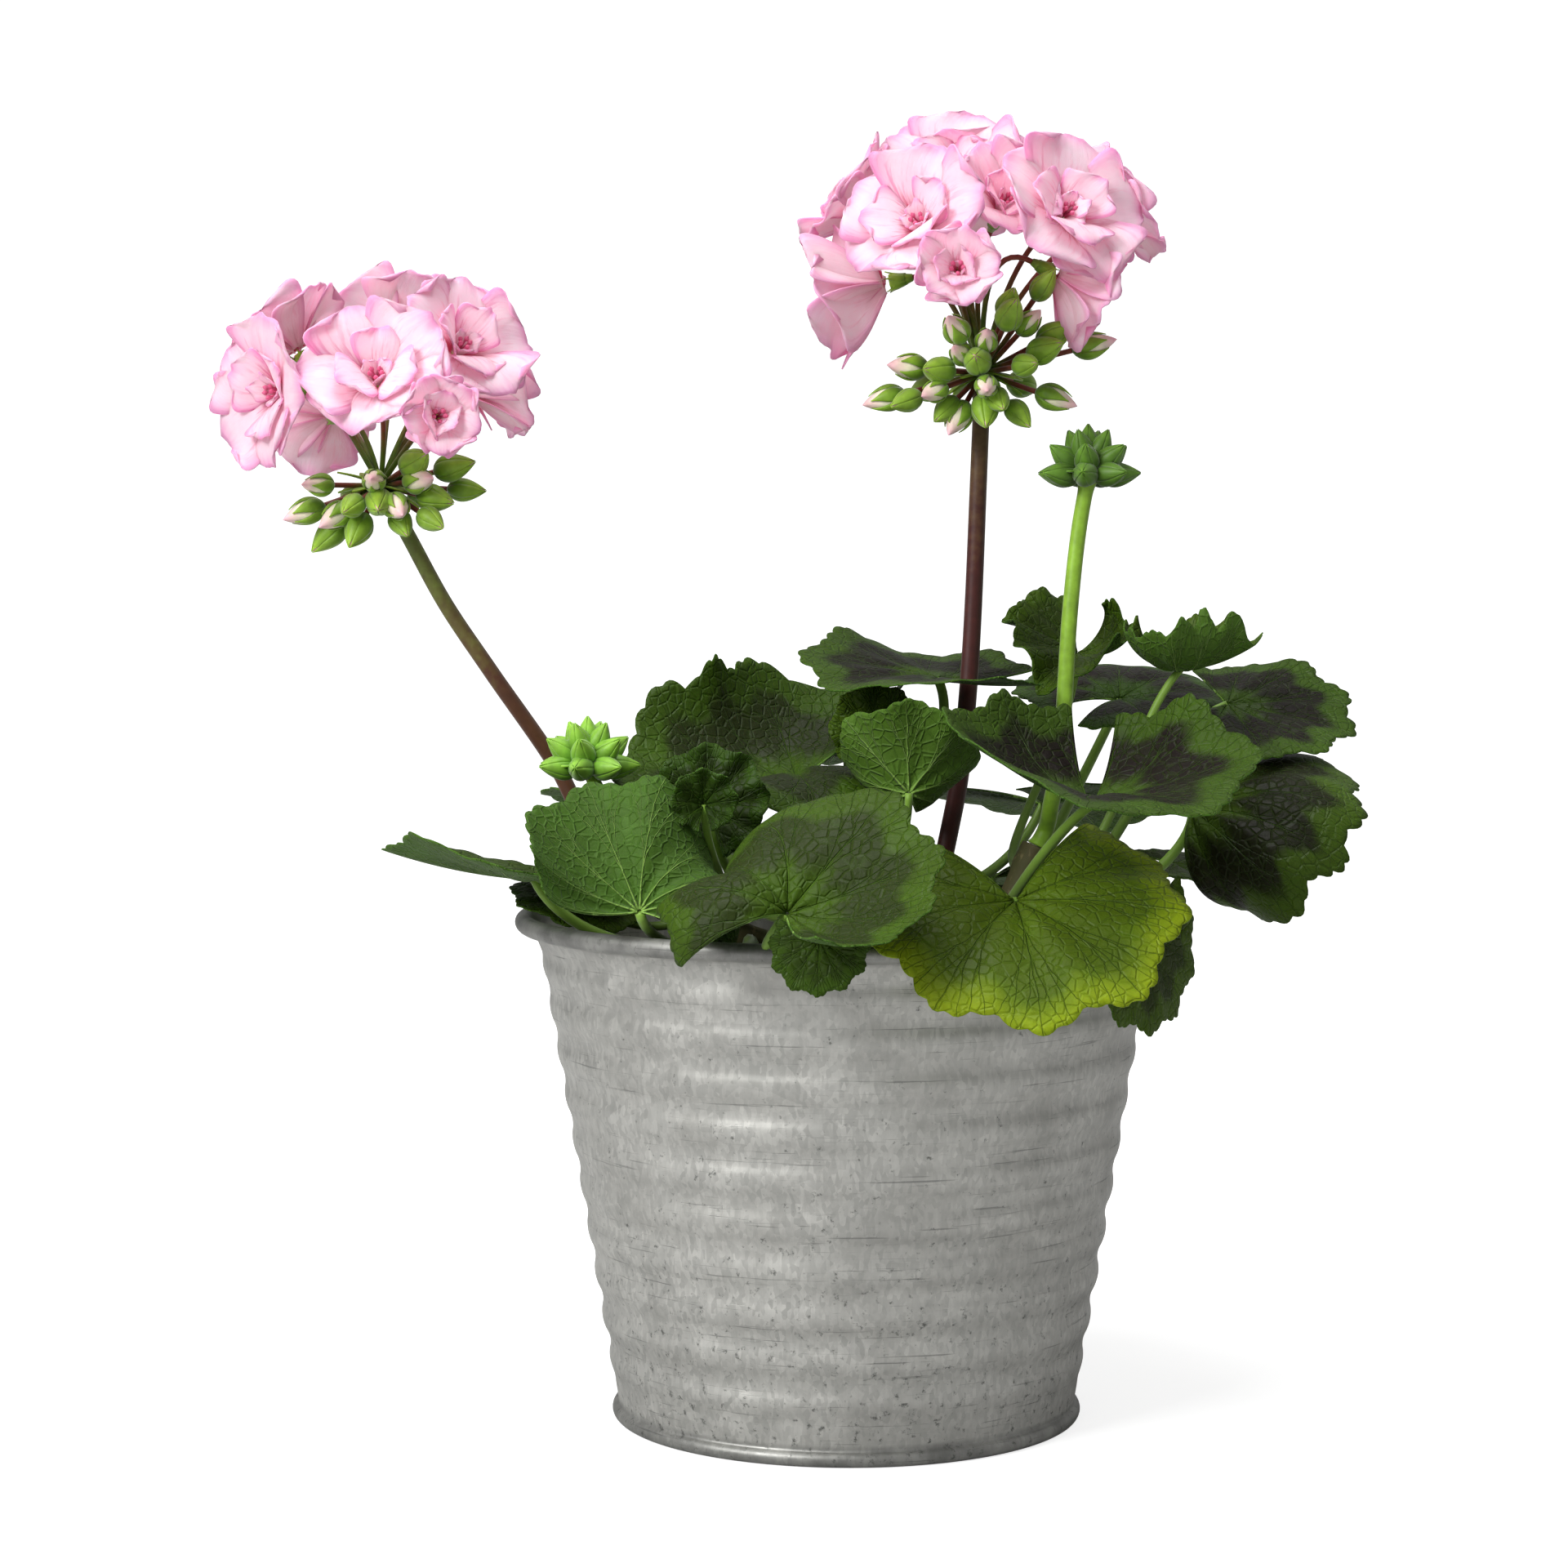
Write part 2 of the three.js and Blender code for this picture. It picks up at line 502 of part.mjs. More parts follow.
function stalkRod(head) {
  const { root, out } = spring(head.branch, head.part, vector(...head.route[0]));
  const points = [root, root.clone().addScaledVector(out, 4), ...head.route.map((p) => vector(...p)),
    vector(...head.hub)];
  return rod(new THREE.CatmullRomCurve3(points), head.thickness, 6, 7);
}

function greenHead(head) {
  const hub = vector(...head.hub);
  const parts = [stalkRod(head), turned([[0, -3], [3.2, 0], [0, 3]], 6, hub)];
  for (const floret of head.florets) {
    const { throat, face } = floretAxes(head.hub, floret);
    const foot = throat.clone().addScaledVector(face, -CALYX_HEIGHT - THROAT_GAP);
    parts.push(turned([[0, 0], [CALYX_RADIUS, CALYX_HEIGHT], [0, CALYX_HEIGHT]], 5, foot, face));
    parts.push(thinStalk(hub, foot.clone().addScaledVector(face, 0.4 * CALYX_HEIGHT), face, 2));
  }
  for (const place of head.buds) {
    const direction = vector(...place).normalize();
    const base = hub.clone().add(vector(...place)).addScaledVector(direction, -BUD_LENGTH / 2);
    parts.push(bud(base, direction, BUD_LENGTH));
    parts.push(thinStalk(hub, base.clone().addScaledVector(direction, 0.3 * BUD_LENGTH), direction, 1));
  }
  parts.push(...bracts(head.hub, 1.1, -0.55));
  return joinAll(parts);
}

// A young head: a tight rosette of pointed buds on a green stalk
function budHead(head) {
  const hub = vector(...head.hub);
  const parts = [stalkRod(head), turned([[0, -2.5], [4, 1.5], [0, 5]], 7, hub)];
  for (const { count, slope, length } of YOUNG_RINGS) {
    for (let i = 0; i < count; i += 1) {
      const angle = (2 * Math.PI * (i + slope / 100)) / count;
      const direction = vector(Math.cos(angle) * Math.cos(radians(slope)),
        Math.sin(angle) * Math.cos(radians(slope)), Math.sin(radians(slope)));
      parts.push(bud(hub.clone().addScaledVector(direction, 2.2), direction, length));
    }
  }
  parts.push(...bracts(head.hub, 0.4, 0.1));
  return joinAll(parts);
}

const heads = [
  { name: 'right', hub: [30, 0, 233], seed: 3, branch: 'right', part: 0.42, thickness: PEDUNCLE_RADIUS,
    route: [[25, -4, 144], [27, -3, 165], [28, -2, 182], [29, -1, 207]],
    florets: [
      { at: [-6, 6, 41], face: [-8, -60, 70], size: 21, open: 25, turn: 0 },
      { at: [-14, -18, 30], face: [-35, -75, 45], size: 19.5, open: 24, turn: 12 },
      { at: [-7, -29, 20], face: [-5, -95, 15], size: 13, open: 48, turn: 0 },
      { at: [16, -13, 33], face: [45, -75, 40], size: 20.5, open: 20, turn: 0 },
      { at: [-22, -9, 19], face: [-95, 25, -20], size: 21, open: 42, turn: 0 },
      { at: [15.5, -12, 20.5], face: [75, 15, -40], size: 17, open: 45, turn: 54 },
      { at: [3, -11.5, 34.5], face: [25, -75, 55], size: 16, open: 35, turn: 42 },
      { at: [-25, 2, 35], face: [-70, 10, 60], size: 18, open: 25, turn: 48 },
      { at: [26, 4, 34], face: [85, 15, 65], size: 17.5, open: 25, turn: 0 },
      { at: [-4, 14, 38], face: [0, 70, 70], size: 20, open: 20, turn: 0 },
    ],
    buds: [[-17, -8, 1], [-22, -4, -6], [-10.5, -13, 0], [-2, -15, 2], [0, -10, -9], [-6, -8, -10.5],
      [-7, -17, 9], [5, -18, 12], [13, -13, 4.5], [15.5, -10, 8], [24.5, -4, 6], [16, -6, -6],
      [-12, 12, -3], [10, 14, -2]],
  },
  { name: 'left', hub: [-103, -5, 208], seed: 8, branch: 'left', part: 0.8,
    thickness: 0.9 * PEDUNCLE_RADIUS,
    route: [[-58, -1, 133], [-65, 0, 146], [-79, -4, 167], [-89, -4, 182], [-97, -5, 197]],
    florets: [
      { at: [-19, -13.5, 20], face: [-75, -60, 0], size: 20, open: 24, turn: 0 },
      { at: [2, -22, 21.5], face: [0, -80, 45], size: 19.5, open: 26, turn: 42 },
      { at: [17.5, -8.5, 28.5], face: [50, -60, 50], size: 18.5, open: 22, turn: 0 },
      { at: [15, -28, 14], face: [25, -90, 5], size: 12.5, open: 48, turn: 48 },
      { at: [-18, 0, 30], face: [-50, 20, 75], size: 17, open: 25, turn: 0 },
      { at: [3, 10.5, 33], face: [5, 60, 70], size: 18, open: 20, turn: 36 },
      { at: [19, 13, 21], face: [75, 55, 40], size: 17, open: 30, turn: 0 },
      { at: [-12.5, 15.5, 16], face: [-40, 85, 10], size: 17, open: 30, turn: 0 },
    ],
    buds: [[-16, -8, -6], [-9, -10, -7], [-4, -10, -10], [-11, -4, -11], [1, -13, -4], [5, -13, -5],
      [10, -12, 1], [13, -9, -3], [9, -12, 5], [17, -7, 4], [-8, 12, -3], [9, 11, -2]],
  },
];

const YOUNG_RINGS = [{ count: 7, slope: 8, length: 9.5 }, { count: 5, slope: 45, length: 9.5 },
  { count: 1, slope: 90, length: 9.5 }];

const budHeads = [
  { name: 'right', hub: [53, -6, 210], branch: 'right', part: 1, thickness: 0.9 * PEDUNCLE_RADIUS,
    route: [[45, -9, 138], [47, -9, 150], [49, -8, 180], [51, -6, 198]] },
  { name: 'left', hub: [-57, -14, 146], branch: 'left', part: 1, thickness: 0.8 * PEDUNCLE_RADIUS,
    route: [[-46, -9, 133], [-54, -12, 140]] },
];

const materials = {
  zinc: { color: 0xa9aaa7, roughness: 0.55, metalness: 0.9 },
  soil: { color: 0x2c211a, roughness: 0.95, metalness: 0 },
  stem: { color: 0x5d6b34, roughness: 0.7, metalness: 0 },
  leaf: { color: 0x35521f, roughness: 0.6, metalness: 0 },
  petal: { color: 0xf2c3d6, roughness: 0.5, metalness: 0 },
  stalk: { color: 0x5b6b2c, roughness: 0.6, metalness: 0 },
};

const plant = new THREE.Group();

function addPiece(name, solid, finish) {
  const piece = new THREE.Mesh(toGeometry(solid), new THREE.MeshStandardMaterial(materials[finish]));
  piece.name = name;
  plant.add(piece);
}

addPiece('pot_wall', potWall(), 'zinc');
addPiece('pot_base', potBase(), 'zinc');
addPiece('soil', soilBody(), 'soil');
addPiece('stems', stemBody(), 'stem');
for (const leaf of leaves) addPiece(`leaf_${leaf.name}`, leafBody(leaf), 'leaf');

for (const head of heads) {
  addPiece(`florets_${head.name}`, pinkBloom(head), 'petal');
  addPiece(`flower_stalk_${head.name}`, greenHead(head), 'stalk');
}
for (const head of budHeads) addPiece(`bud_stalk_${head.name}`, budHead(head), 'stalk');

export default plant;
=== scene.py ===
# %% [markdown]
# # A potted zonal geranium
# A zonal geranium (a Pelargonium hybrid) in bloom, about 29 cm tall, stands in a ribbed zinc pot.
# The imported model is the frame: it gives every piece its place and true size. This lesson puts a
# finer mesh over each of its pieces, from the same few dimensions, so nothing has to be fitted
# afterwards. Lengths are written in millimetres, as a grower would measure them, and turned into
# metres only where a mesh is made.

# %% The frame
import math

import bpy
import numpy as np
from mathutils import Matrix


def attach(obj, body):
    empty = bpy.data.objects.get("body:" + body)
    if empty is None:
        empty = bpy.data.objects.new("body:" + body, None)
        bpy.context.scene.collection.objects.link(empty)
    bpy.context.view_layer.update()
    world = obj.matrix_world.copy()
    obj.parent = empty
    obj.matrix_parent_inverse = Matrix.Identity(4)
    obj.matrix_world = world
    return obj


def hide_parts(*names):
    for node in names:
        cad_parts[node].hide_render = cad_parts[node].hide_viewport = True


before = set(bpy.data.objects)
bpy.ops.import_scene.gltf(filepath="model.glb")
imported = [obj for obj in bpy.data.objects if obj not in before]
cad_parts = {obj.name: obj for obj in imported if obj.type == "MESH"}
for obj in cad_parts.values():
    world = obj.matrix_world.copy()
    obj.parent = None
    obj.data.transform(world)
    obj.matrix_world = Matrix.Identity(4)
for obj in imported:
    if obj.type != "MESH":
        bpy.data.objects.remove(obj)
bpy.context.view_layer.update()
MM = 0.001

# %% [markdown]
# ## Small tools
# Everything on a plant is a thin sheet or a round stalk. So two shapes are enough: a *sheet*, a grid
# of points thickened into a closed shell, and a *tube*, rings along a line. Both are kept as plain
# arrays and put together into one mesh per piece, which is far quicker than Blender's operators.

# %% Sheets and tubes
def unit(v):
    v = np.asarray(v, float)
    return v / np.linalg.norm(v, axis=-1, keepdims=True)


def sheet(grid, upper, lower, side=(0, 1), marks=None):
    """A closed shell over a grid of points (rows, columns, 3): face rows run outwards."""
    rows, columns = grid.shape[:2]
    normal = unit(np.cross(np.gradient(grid, axis=0), np.gradient(grid, axis=1)) + 1e-12)
    up = np.broadcast_to(upper, (rows, columns))[..., None]
    low = np.broadcast_to(lower, (rows, columns))[..., None]
    points = np.concatenate([(grid + normal * up).reshape(-1, 3), (grid - normal * low).reshape(-1, 3)])
    index = np.arange(rows * columns).reshape(rows, columns)
    j = np.arange(columns - 1)
    k = j + 1
    a, b = index[:-1][:, j], index[:-1][:, k]
    c, d = index[1:][:, k], index[1:][:, j]
    top = np.stack([a, d, c, b], -1).reshape(-1, 4)
    under = np.stack([a, b, c, d], -1).reshape(-1, 4) + rows * columns
    i = np.arange(rows - 1)
    loops = [(index[0][j], index[0][k]), (index[-1][k], index[-1][j]),
             (index[i + 1, 0], index[i, 0]), (index[i, -1], index[i + 1, -1])]
    walls = np.concatenate([np.stack([p, q, q + rows * columns, p + rows * columns], -1) for p, q in loops])
    faces = np.concatenate([top, under, walls])
    finish = np.concatenate([np.full(len(top), side[0]), np.full(len(under), side[1]),
                             np.full(len(walls), side[1])])
    marks = {} if marks is None else {
        name: np.concatenate([value.reshape(rows * columns, -1)] * 2) for name, value in marks.items()}
    return points, faces, finish, marks


def tube(line, radius, sides, finish=0, flute=0.0, ribs=5):
    """A round rod along a line of points, closed at both ends, with the share of its length as a mark."""
    line = np.asarray(line, float)
    count = len(line)
    radius = np.broadcast_to(radius, count)
    way = unit(np.gradient(line, axis=0))
    first = unit(np.cross(way[0], (0.3, 0.9, 0.2)))
    frames = [first]
    for k in range(1, count):
        turned = frames[-1] - way[k] * (frames[-1] @ way[k])
        frames.append(unit(turned))
    out = np.array(frames)
    side = np.cross(way, out)
    angle = np.linspace(0, 2 * math.pi, sides, endpoint=False)
    swell = 1 + flute * np.cos(ribs * angle)
    ring = (out[:, None] * (np.cos(angle) * swell)[None, :, None]
            + side[:, None] * (np.sin(angle) * swell)[None, :, None])
    points = (line[:, None] + ring * radius[:, None, None]).reshape(-1, 3)
    points = np.concatenate([points, line[:1], line[-1:]])
    faces = []
    for k in range(count - 1):
        for j in range(sides):
            n = (j + 1) % sides
            faces.append((k * sides + j, k * sides + n, (k + 1) * sides + n, (k + 1) * sides + j))
    foot, head = count * sides, count * sides + 1
    for j in range(sides):
        n = (j + 1) % sides
        faces.append((foot, n, j, j))
        faces.append((head, (count - 1) * sides + j, (count - 1) * sides + n, (count - 1) * sides + n))
    share = np.linspace(0, 1, count)
    marks = np.concatenate([np.repeat(share, sides), share[:1], share[-1:]])
    turn = np.concatenate([np.tile(angle, count), [0, 0]])
    value = np.stack([turn, marks, np.zeros_like(marks)], -1)
    return points, np.array(faces), np.full(len(faces), finish), {"blade": value}


def turned(profile, place, direction, sides, finish, flute=0.0):
    """A turned body: profile is (radius, height) from its foot up, standing at a place along a direction."""
    profile = np.asarray(profile, float)
    direction = unit(direction)
    line = np.asarray(place, float) + direction * profile[:, 1:2]
    lift = np.linspace(0, 1, len(profile)) * 1e-6
    line = line + direction * lift[:, None]
    first = unit(np.cross(direction, (0.3, 0.9, 0.2)))
    second = np.cross(direction, first)
    angle = np.linspace(0, 2 * math.pi, sides, endpoint=False)
    swell = 1 + flute * np.cos(5 * angle)
    ring = first * (np.cos(angle) * swell)[:, None] + second * (np.sin(angle) * swell)[:, None]
    points = (line[:, None] + ring[None] * profile[:, 0][:, None, None]).reshape(-1, 3)
    count = len(profile)
    index = np.arange(count * sides).reshape(count, sides)
    a, b = index[:-1], np.roll(index[:-1], -1, 1)
    c, d = np.roll(index[1:], -1, 1), index[1:]
    faces = np.stack([a, b, c, d], -1).reshape(-1, 4)
    share = np.linspace(0, 1, count)
    value = np.stack([np.tile(angle, count), np.repeat(share, sides), np.zeros(count * sides)], -1)
    return points, faces, np.full(len(faces), finish), {"blade": value}


# %% [markdown]
# One function turns a list of these shapes into a Blender mesh. The marks, such as where a point
# lies between a leaf's centre and its edge, become attributes that the materials read. That keeps
# each pattern on the leaf itself, whichever way it is turned.

# %% From arrays to a piece
def make_piece(name, shapes, finishes, node):
    starts = np.cumsum([0] + [len(shape[0]) for shape in shapes[:-1]])
    points = np.concatenate([shape[0] for shape in shapes]) * MM
    faces, finish = [], []
    for start, shape in zip(starts, shapes):
        faces += [tuple(dict.fromkeys(face)) for face in (shape[1] + start).tolist()]
        finish.append(shape[2])
    mesh = bpy.data.meshes.new(name)
    mesh.from_pydata(points.tolist(), [], faces)
    mesh.polygons.foreach_set("material_index", np.concatenate(finish).astype(np.int32))
    mesh.polygons.foreach_set("use_smooth", [True] * len(mesh.polygons))
    for key in sorted({key for shape in shapes for key in shape[3]}):
        values = [shape[3].get(key, np.zeros((len(shape[0]), 3))) for shape in shapes]
        mark = mesh.attributes.new(key, "FLOAT_VECTOR", "POINT")
        mark.data.foreach_set("vector", np.concatenate(values).astype(np.float32).ravel())
    for material in finishes:
        mesh.materials.append(material)
    mesh.update()
    piece = bpy.data.objects.new(name, mesh)
    bpy.context.scene.collection.objects.link(piece)
    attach(piece, "root")
    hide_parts(node)
    print(f"{name}: {len(mesh.polygons)} faces")


# %% [markdown]
# ## Colours and shader nodes
# Colours are read off as sRGB, the way a colour picker gives them, and Blender works in linear
# light, so one function converts them. A second one adds a shader node: settings by name, and each
# input either a value or the socket that feeds it.

# %% Colour and node helpers
def colour(code):
    parts = [int(code[i:i + 2], 16) / 255 for i in (1, 3, 5)]
    linear = [c / 12.92 if c <= 0.04045 else ((c + 0.055) / 1.055) ** 2.4 for c in parts]
    return (*linear, 1.0)


def new_material(name):
    material = bpy.data.materials.new(name)
    material.use_nodes = True
    tree = material.node_tree
    return material, tree, tree.nodes["Principled BSDF"]


def add(tree, kind, inputs=None, **settings):
    node = tree.nodes.new("ShaderNode" + kind)
    for key, value in settings.items():
        setattr(node, key, value)
    for key, value in (inputs or {}).items():
        if isinstance(value, bpy.types.NodeSocket):
            tree.links.new(value, node.inputs[key])
        else:
            node.inputs[key].default_value = value
    return node


def settle(shader, values):
    for key, value in values.items():
        shader.inputs[key].default_value = value


def bumpy(tree, shader, height, strength, depth_mm):
    bump = add(tree, "Bump", {"Height": height, "Strength": strength, "Distance": depth_mm * MM})
    tree.links.new(bump.outputs[0], shader.inputs["Normal"])


def calc(tree, operation, *values):
    return add(tree, "Math", dict(enumerate(values)), operation=operation).outputs[0]


def mixed(tree, share, first, second):
    """Two colours, as codes or sockets, mixed by a share."""
    first, second = (colour(c) if isinstance(c, str) else c for c in (first, second))
    return add(tree, "Mix", {0: share, 6: first, 7: second}, data_type="RGBA").outputs[2]


def ramp(tree, value, low, high, to_low=0, to_high=1, smooth=False):
    """A value read between low and high and given out between to_low and to_high."""
    inputs = {"Value": value, "From Min": low, "From Max": high, "To Min": to_low, "To Max": to_high}
    return add(tree, "MapRange", inputs, interpolation_type="SMOOTHSTEP" if smooth else "LINEAR").outputs[0]


def noise(tree, vector, scale, detail, roughness=0.5):
    inputs = {"Vector": vector, "Scale": scale, "Detail": detail, "Roughness": roughness}
    return add(tree, "TexNoise", inputs).outputs["Fac"]


# %% [markdown]
# ## The photographer's corner
# The plant was photographed on white, from a little above the rim of its pot, with a long lens a
# good arm's length away. A white floor that curves up into the distance, a pale sky and two big
# soft lights give the same even light with a gentle shade on the right.

# %% Camera
CAMERA_PLACE = (-14, -808, 194)
CAMERA_TILT = 3.70
LENS = 83.3

camera = bpy.data.objects.new("camera", bpy.data.cameras.new("camera"))
camera.location = [v * MM for v in CAMERA_PLACE]
camera.rotation_euler = (math.radians(90 - CAMERA_TILT), 0, 0)
camera.data.lens = LENS
camera.data.sensor_width = 36
bpy.context.scene.collection.objects.link(camera)
bpy.context.scene.camera = camera
bpy.context.scene.view_settings.view_transform = "Standard"

# %% Floor and lights
FLOOR_FLAT = 2500
FLOOR_RISE = 900

turn = np.linspace(0, 2 * math.pi, 97)[:-1]
curve = np.linspace(0, 1.2, 12)
floor_radius = np.concatenate([[1], [FLOOR_FLAT / 2], FLOOR_FLAT + FLOOR_RISE * np.sin(curve)])
floor_height = np.concatenate([[0], [0], FLOOR_RISE * (1 - np.cos(curve))])
rings = np.stack([floor_radius[:, None] * np.cos(turn), floor_radius[:, None] * np.sin(turn),
                  np.repeat(floor_height[:, None], len(turn), 1)], -1)
points = np.concatenate([rings.reshape(-1, 3), [[0, 0, 0]]]) * MM
columns = len(turn)
faces = [(r * columns + c, r * columns + (c + 1) % columns, (r + 1) * columns + (c + 1) % columns,
          (r + 1) * columns + c) for r in range(len(rings) - 1) for c in range(columns)]
faces += [(len(points) - 1, c, (c + 1) % columns) for c in range(columns)]
floor_mesh = bpy.data.meshes.new("floor")
floor_mesh.from_pydata(points.tolist(), [], faces)
floor_mesh.polygons.foreach_set("use_smooth", [True] * len(faces))
floor = bpy.data.objects.new("floor", floor_mesh)
bpy.context.scene.collection.objects.link(floor)

paper, tree, shader = new_material("white_paper_backdrop")
settle(shader, {"Base Color": colour("#bcbcbc"), "Roughness": 0.9, "Specular IOR Level": 0.1,
                "Emission Color": colour("#ffffff")})
seen = add(tree, "LightPath").outputs["Is Camera Ray"]
place = add(tree, "TexCoord").outputs["Object"]
away = add(tree, "VectorMath", {0: place}, operation="LENGTH").outputs["Value"]
white = ramp(tree, away, 0.15, 0.5, 0.78, 1.0)
glow = calc(tree, "MULTIPLY", seen, white)
tree.links.new(glow, shader.inputs["Emission Strength"])
floor_mesh.materials.append(paper)

world = bpy.data.worlds.new("pale_sky")
world.use_nodes = True
SKY_LIGHT = 0.37
SKY_SEEN = 1.1
tree = world.node_tree
seen = tree.nodes.new("ShaderNodeLightPath").outputs["Is Camera Ray"]
glow = tree.nodes.new("ShaderNodeMapRange")
glow.inputs["To Min"].default_value = SKY_LIGHT
glow.inputs["To Max"].default_value = SKY_SEEN
tree.links.new(seen, glow.inputs["Value"])
tree.nodes["Background"].inputs["Color"].default_value = (1, 1, 1, 1)
tree.links.new(glow.outputs[0], tree.nodes["Background"].inputs["Strength"])
bpy.context.scene.world = world


def soft_light(name, place, target, size, watts):
    lamp = bpy.data.objects.new(name, bpy.data.lights.new(name, "AREA"))
    lamp.data.shape = "SQUARE"
    lamp.data.size = size * MM
    lamp.data.energy = watts
    lamp.location = [v * MM for v in place]
    way = unit(np.subtract(target, place))
    lamp.rotation_euler = (math.acos(-way[2]), 0, math.atan2(-way[0], way[1]))
    bpy.context.scene.collection.objects.link(lamp)


soft_light("key_softbox", (-900, -900, 900), (0, 0, 150), 600, 18)
soft_light("top_softbox", (-100, -100, 1300), (0, 0, 150), 700, 10)
print("camera and lights set")

# %% [markdown]
# ## The zinc pot
# A cachepot of galvanised steel sheet: rolled into a cone, beaded with rows of ribs, its rim curled
# outwards round a wire and its foot pressed into a bead. Steel sheet dipped in molten zinc gets a
# dull grey skin of zinc crystals. The handling since then left fine scratches that follow the ribs.
# The wall is a closed profile turned round the axis, which is how the maker's roller shaped it.

# %% Pot sizes
POT_HEIGHT = 113.5
WALL_FOOT_RADIUS = 51.4
WALL_TOP_RADIUS = 68
WALL_TOP = 105
WALL_SHEET = 1.1
RIB_FIRST = 12.7
RIB_PITCH = 9.9
RIB_HEIGHT = 0.45
LIP_RADIUS = 74
LIP_CURL = 2.05
BEAD_CURL = 1.7
FOOT_BEAD_RADIUS = 52.6
FOOT_BEAD_HEIGHT = 4.6
SOIL_LEVEL = 98
CLEARANCE = 0.35


def wall_radius(height):
    part = (height - FOOT_BEAD_HEIGHT) / (WALL_TOP - FOOT_BEAD_HEIGHT)
    return WALL_FOOT_RADIUS + (WALL_TOP_RADIUS - WALL_FOOT_RADIUS) * part


# %% [markdown]
# The ribs were rolled by hand-fed rollers, so their depth wanders a little round the pot. Three
# slow waves with fixed phases are enough for that: no two sides of the pot are the same.

# %% Pot wall
POT_COLUMNS = 288
rib_heights = np.linspace(FOOT_BEAD_HEIGHT + 0.8, WALL_TOP, 150)


def ribs_at(height, angle):
    wave = np.cos(2 * math.pi * (height - RIB_FIRST) / RIB_PITCH)
    sharp = np.sign(wave) * np.abs(wave) ** 0.8
    depth = 1 + 0.12 * np.sin(2 * angle + height * 0.06) + 0.1 * np.sin(5 * angle - height * 0.11)
    fade = np.clip((height - FOOT_BEAD_HEIGHT - 3) / 6, 0, 1) * np.clip((WALL_TOP - height) / 3, 0, 1)
    dent = 0.06 * np.sin(3 * angle + height * 0.045 + 1.3) + 0.03 * np.sin(7 * angle - height * 0.08)
    return RIB_HEIGHT * 0.85 * depth * sharp * fade + dent


def arc(centre, radius, start, end, steps):
    angle = np.radians(np.linspace(start, end, steps))
    return [(centre[0] + radius * math.cos(a), centre[1] + radius * math.sin(a)) for a in angle]


inside_foot = WALL_FOOT_RADIUS - WALL_SHEET
foot_bead = [(inside_foot, 0.1), (inside_foot + 0.6, 0),
             *arc((FOOT_BEAD_RADIUS - BEAD_CURL, BEAD_CURL), BEAD_CURL, -80, 78, 12), (WALL_FOOT_RADIUS - 0.1, 4.0)]
lip_roll = [(WALL_TOP_RADIUS + 0.9, WALL_TOP + 2.2), (LIP_RADIUS - 3.9, WALL_TOP + 4.2),
            (LIP_RADIUS - 2.9, WALL_TOP + 5), *arc((LIP_RADIUS - LIP_CURL, POT_HEIGHT - LIP_CURL), LIP_CURL, -80, 150, 18),
            (LIP_RADIUS - 5.1, WALL_TOP + 4.6), (WALL_TOP_RADIUS - WALL_SHEET + 0.3, WALL_TOP + 1.2),
            (WALL_TOP_RADIUS - WALL_SHEET, WALL_TOP - 1), (inside_foot, FOOT_BEAD_HEIGHT), (inside_foot, 0.1)]
pot_angle = np.linspace(0, 2 * math.pi, POT_COLUMNS, endpoint=False)
pot_rows = foot_bead + [(wall_radius(h) + ribs_at(h, pot_angle), h) for h in rib_heights] + lip_roll[:-1]
pot_rows = np.array([np.stack([np.full(POT_COLUMNS, r, float), np.full(POT_COLUMNS, z, float)], -1) for r, z in pot_rows])
radius, height = pot_rows[..., 0], pot_rows[..., 1]
pot_points = np.stack([radius * np.cos(pot_angle), radius * np.sin(pot_angle), height], -1)
index = np.arange(len(pot_rows) * POT_COLUMNS).reshape(len(pot_rows), POT_COLUMNS)
below, above = index, np.roll(index, -1, 0)
pot_faces = np.stack([below, np.roll(below, -1, 1), np.roll(above, -1, 1), above], -1).reshape(-1, 4)
pot_shape = (pot_points.reshape(-1, 3), pot_faces, np.zeros(len(pot_faces), int), {})

# %% [markdown]
# **Galvanised steel.** Hot-dip zinc freezes in crystals a few millimetres wide, the spangle, and
# each crystal mirrors the light a little differently: that is a cell pattern in the roughness and
# the tint. Over it lie fine upright drawing lines, dark scratches along the ribs where pots were
# nested, and smoky patches of zinc oxide. Zinc is a metal, dulled by its oxide.

# %% Galvanised steel
SPANGLE_MM = 7
FLAKE_MM = 0.9
DRAW_LINE_MM = 0.7
DRAW_LENGTH_MM = 14
SCRATCH_MM = 0.8
SCRATCH_LENGTH_MM = 34

zinc, tree, shader = new_material("galvanised_steel")
place = add(tree, "TexCoord").outputs["Object"]
split = add(tree, "SeparateXYZ", {"Vector": place})
angle = calc(tree, "ARCTAN2", split.outputs["Y"], split.outputs["X"])
around = calc(tree, "MULTIPLY", angle, 60 * MM)
flat = add(tree, "CombineXYZ", {"X": around, "Y": split.outputs["Z"]}).outputs[0]
spangle = add(tree, "TexVoronoi", {"Vector": place, "Scale": 1 / (SPANGLE_MM * MM)}, feature="F1")
flake_scale = np.array([1, 1, 0.5]) / (FLAKE_MM * MM)
flake_space = add(tree, "Mapping", {"Vector": place, "Scale": flake_scale})
flakes = add(tree, "TexVoronoi", {"Vector": flake_space.outputs[0], "Scale": 1.0}, feature="F1")
flake = add(tree, "SeparateColor", {"Color": flakes.outputs["Color"]}).outputs["Green"]
crystal = add(tree, "SeparateColor", {"Color": spangle.outputs["Color"]}).outputs["Red"]
crystal = add(tree, "Mix", {0: 0.65, 2: crystal, 3: flake}).outputs[0]
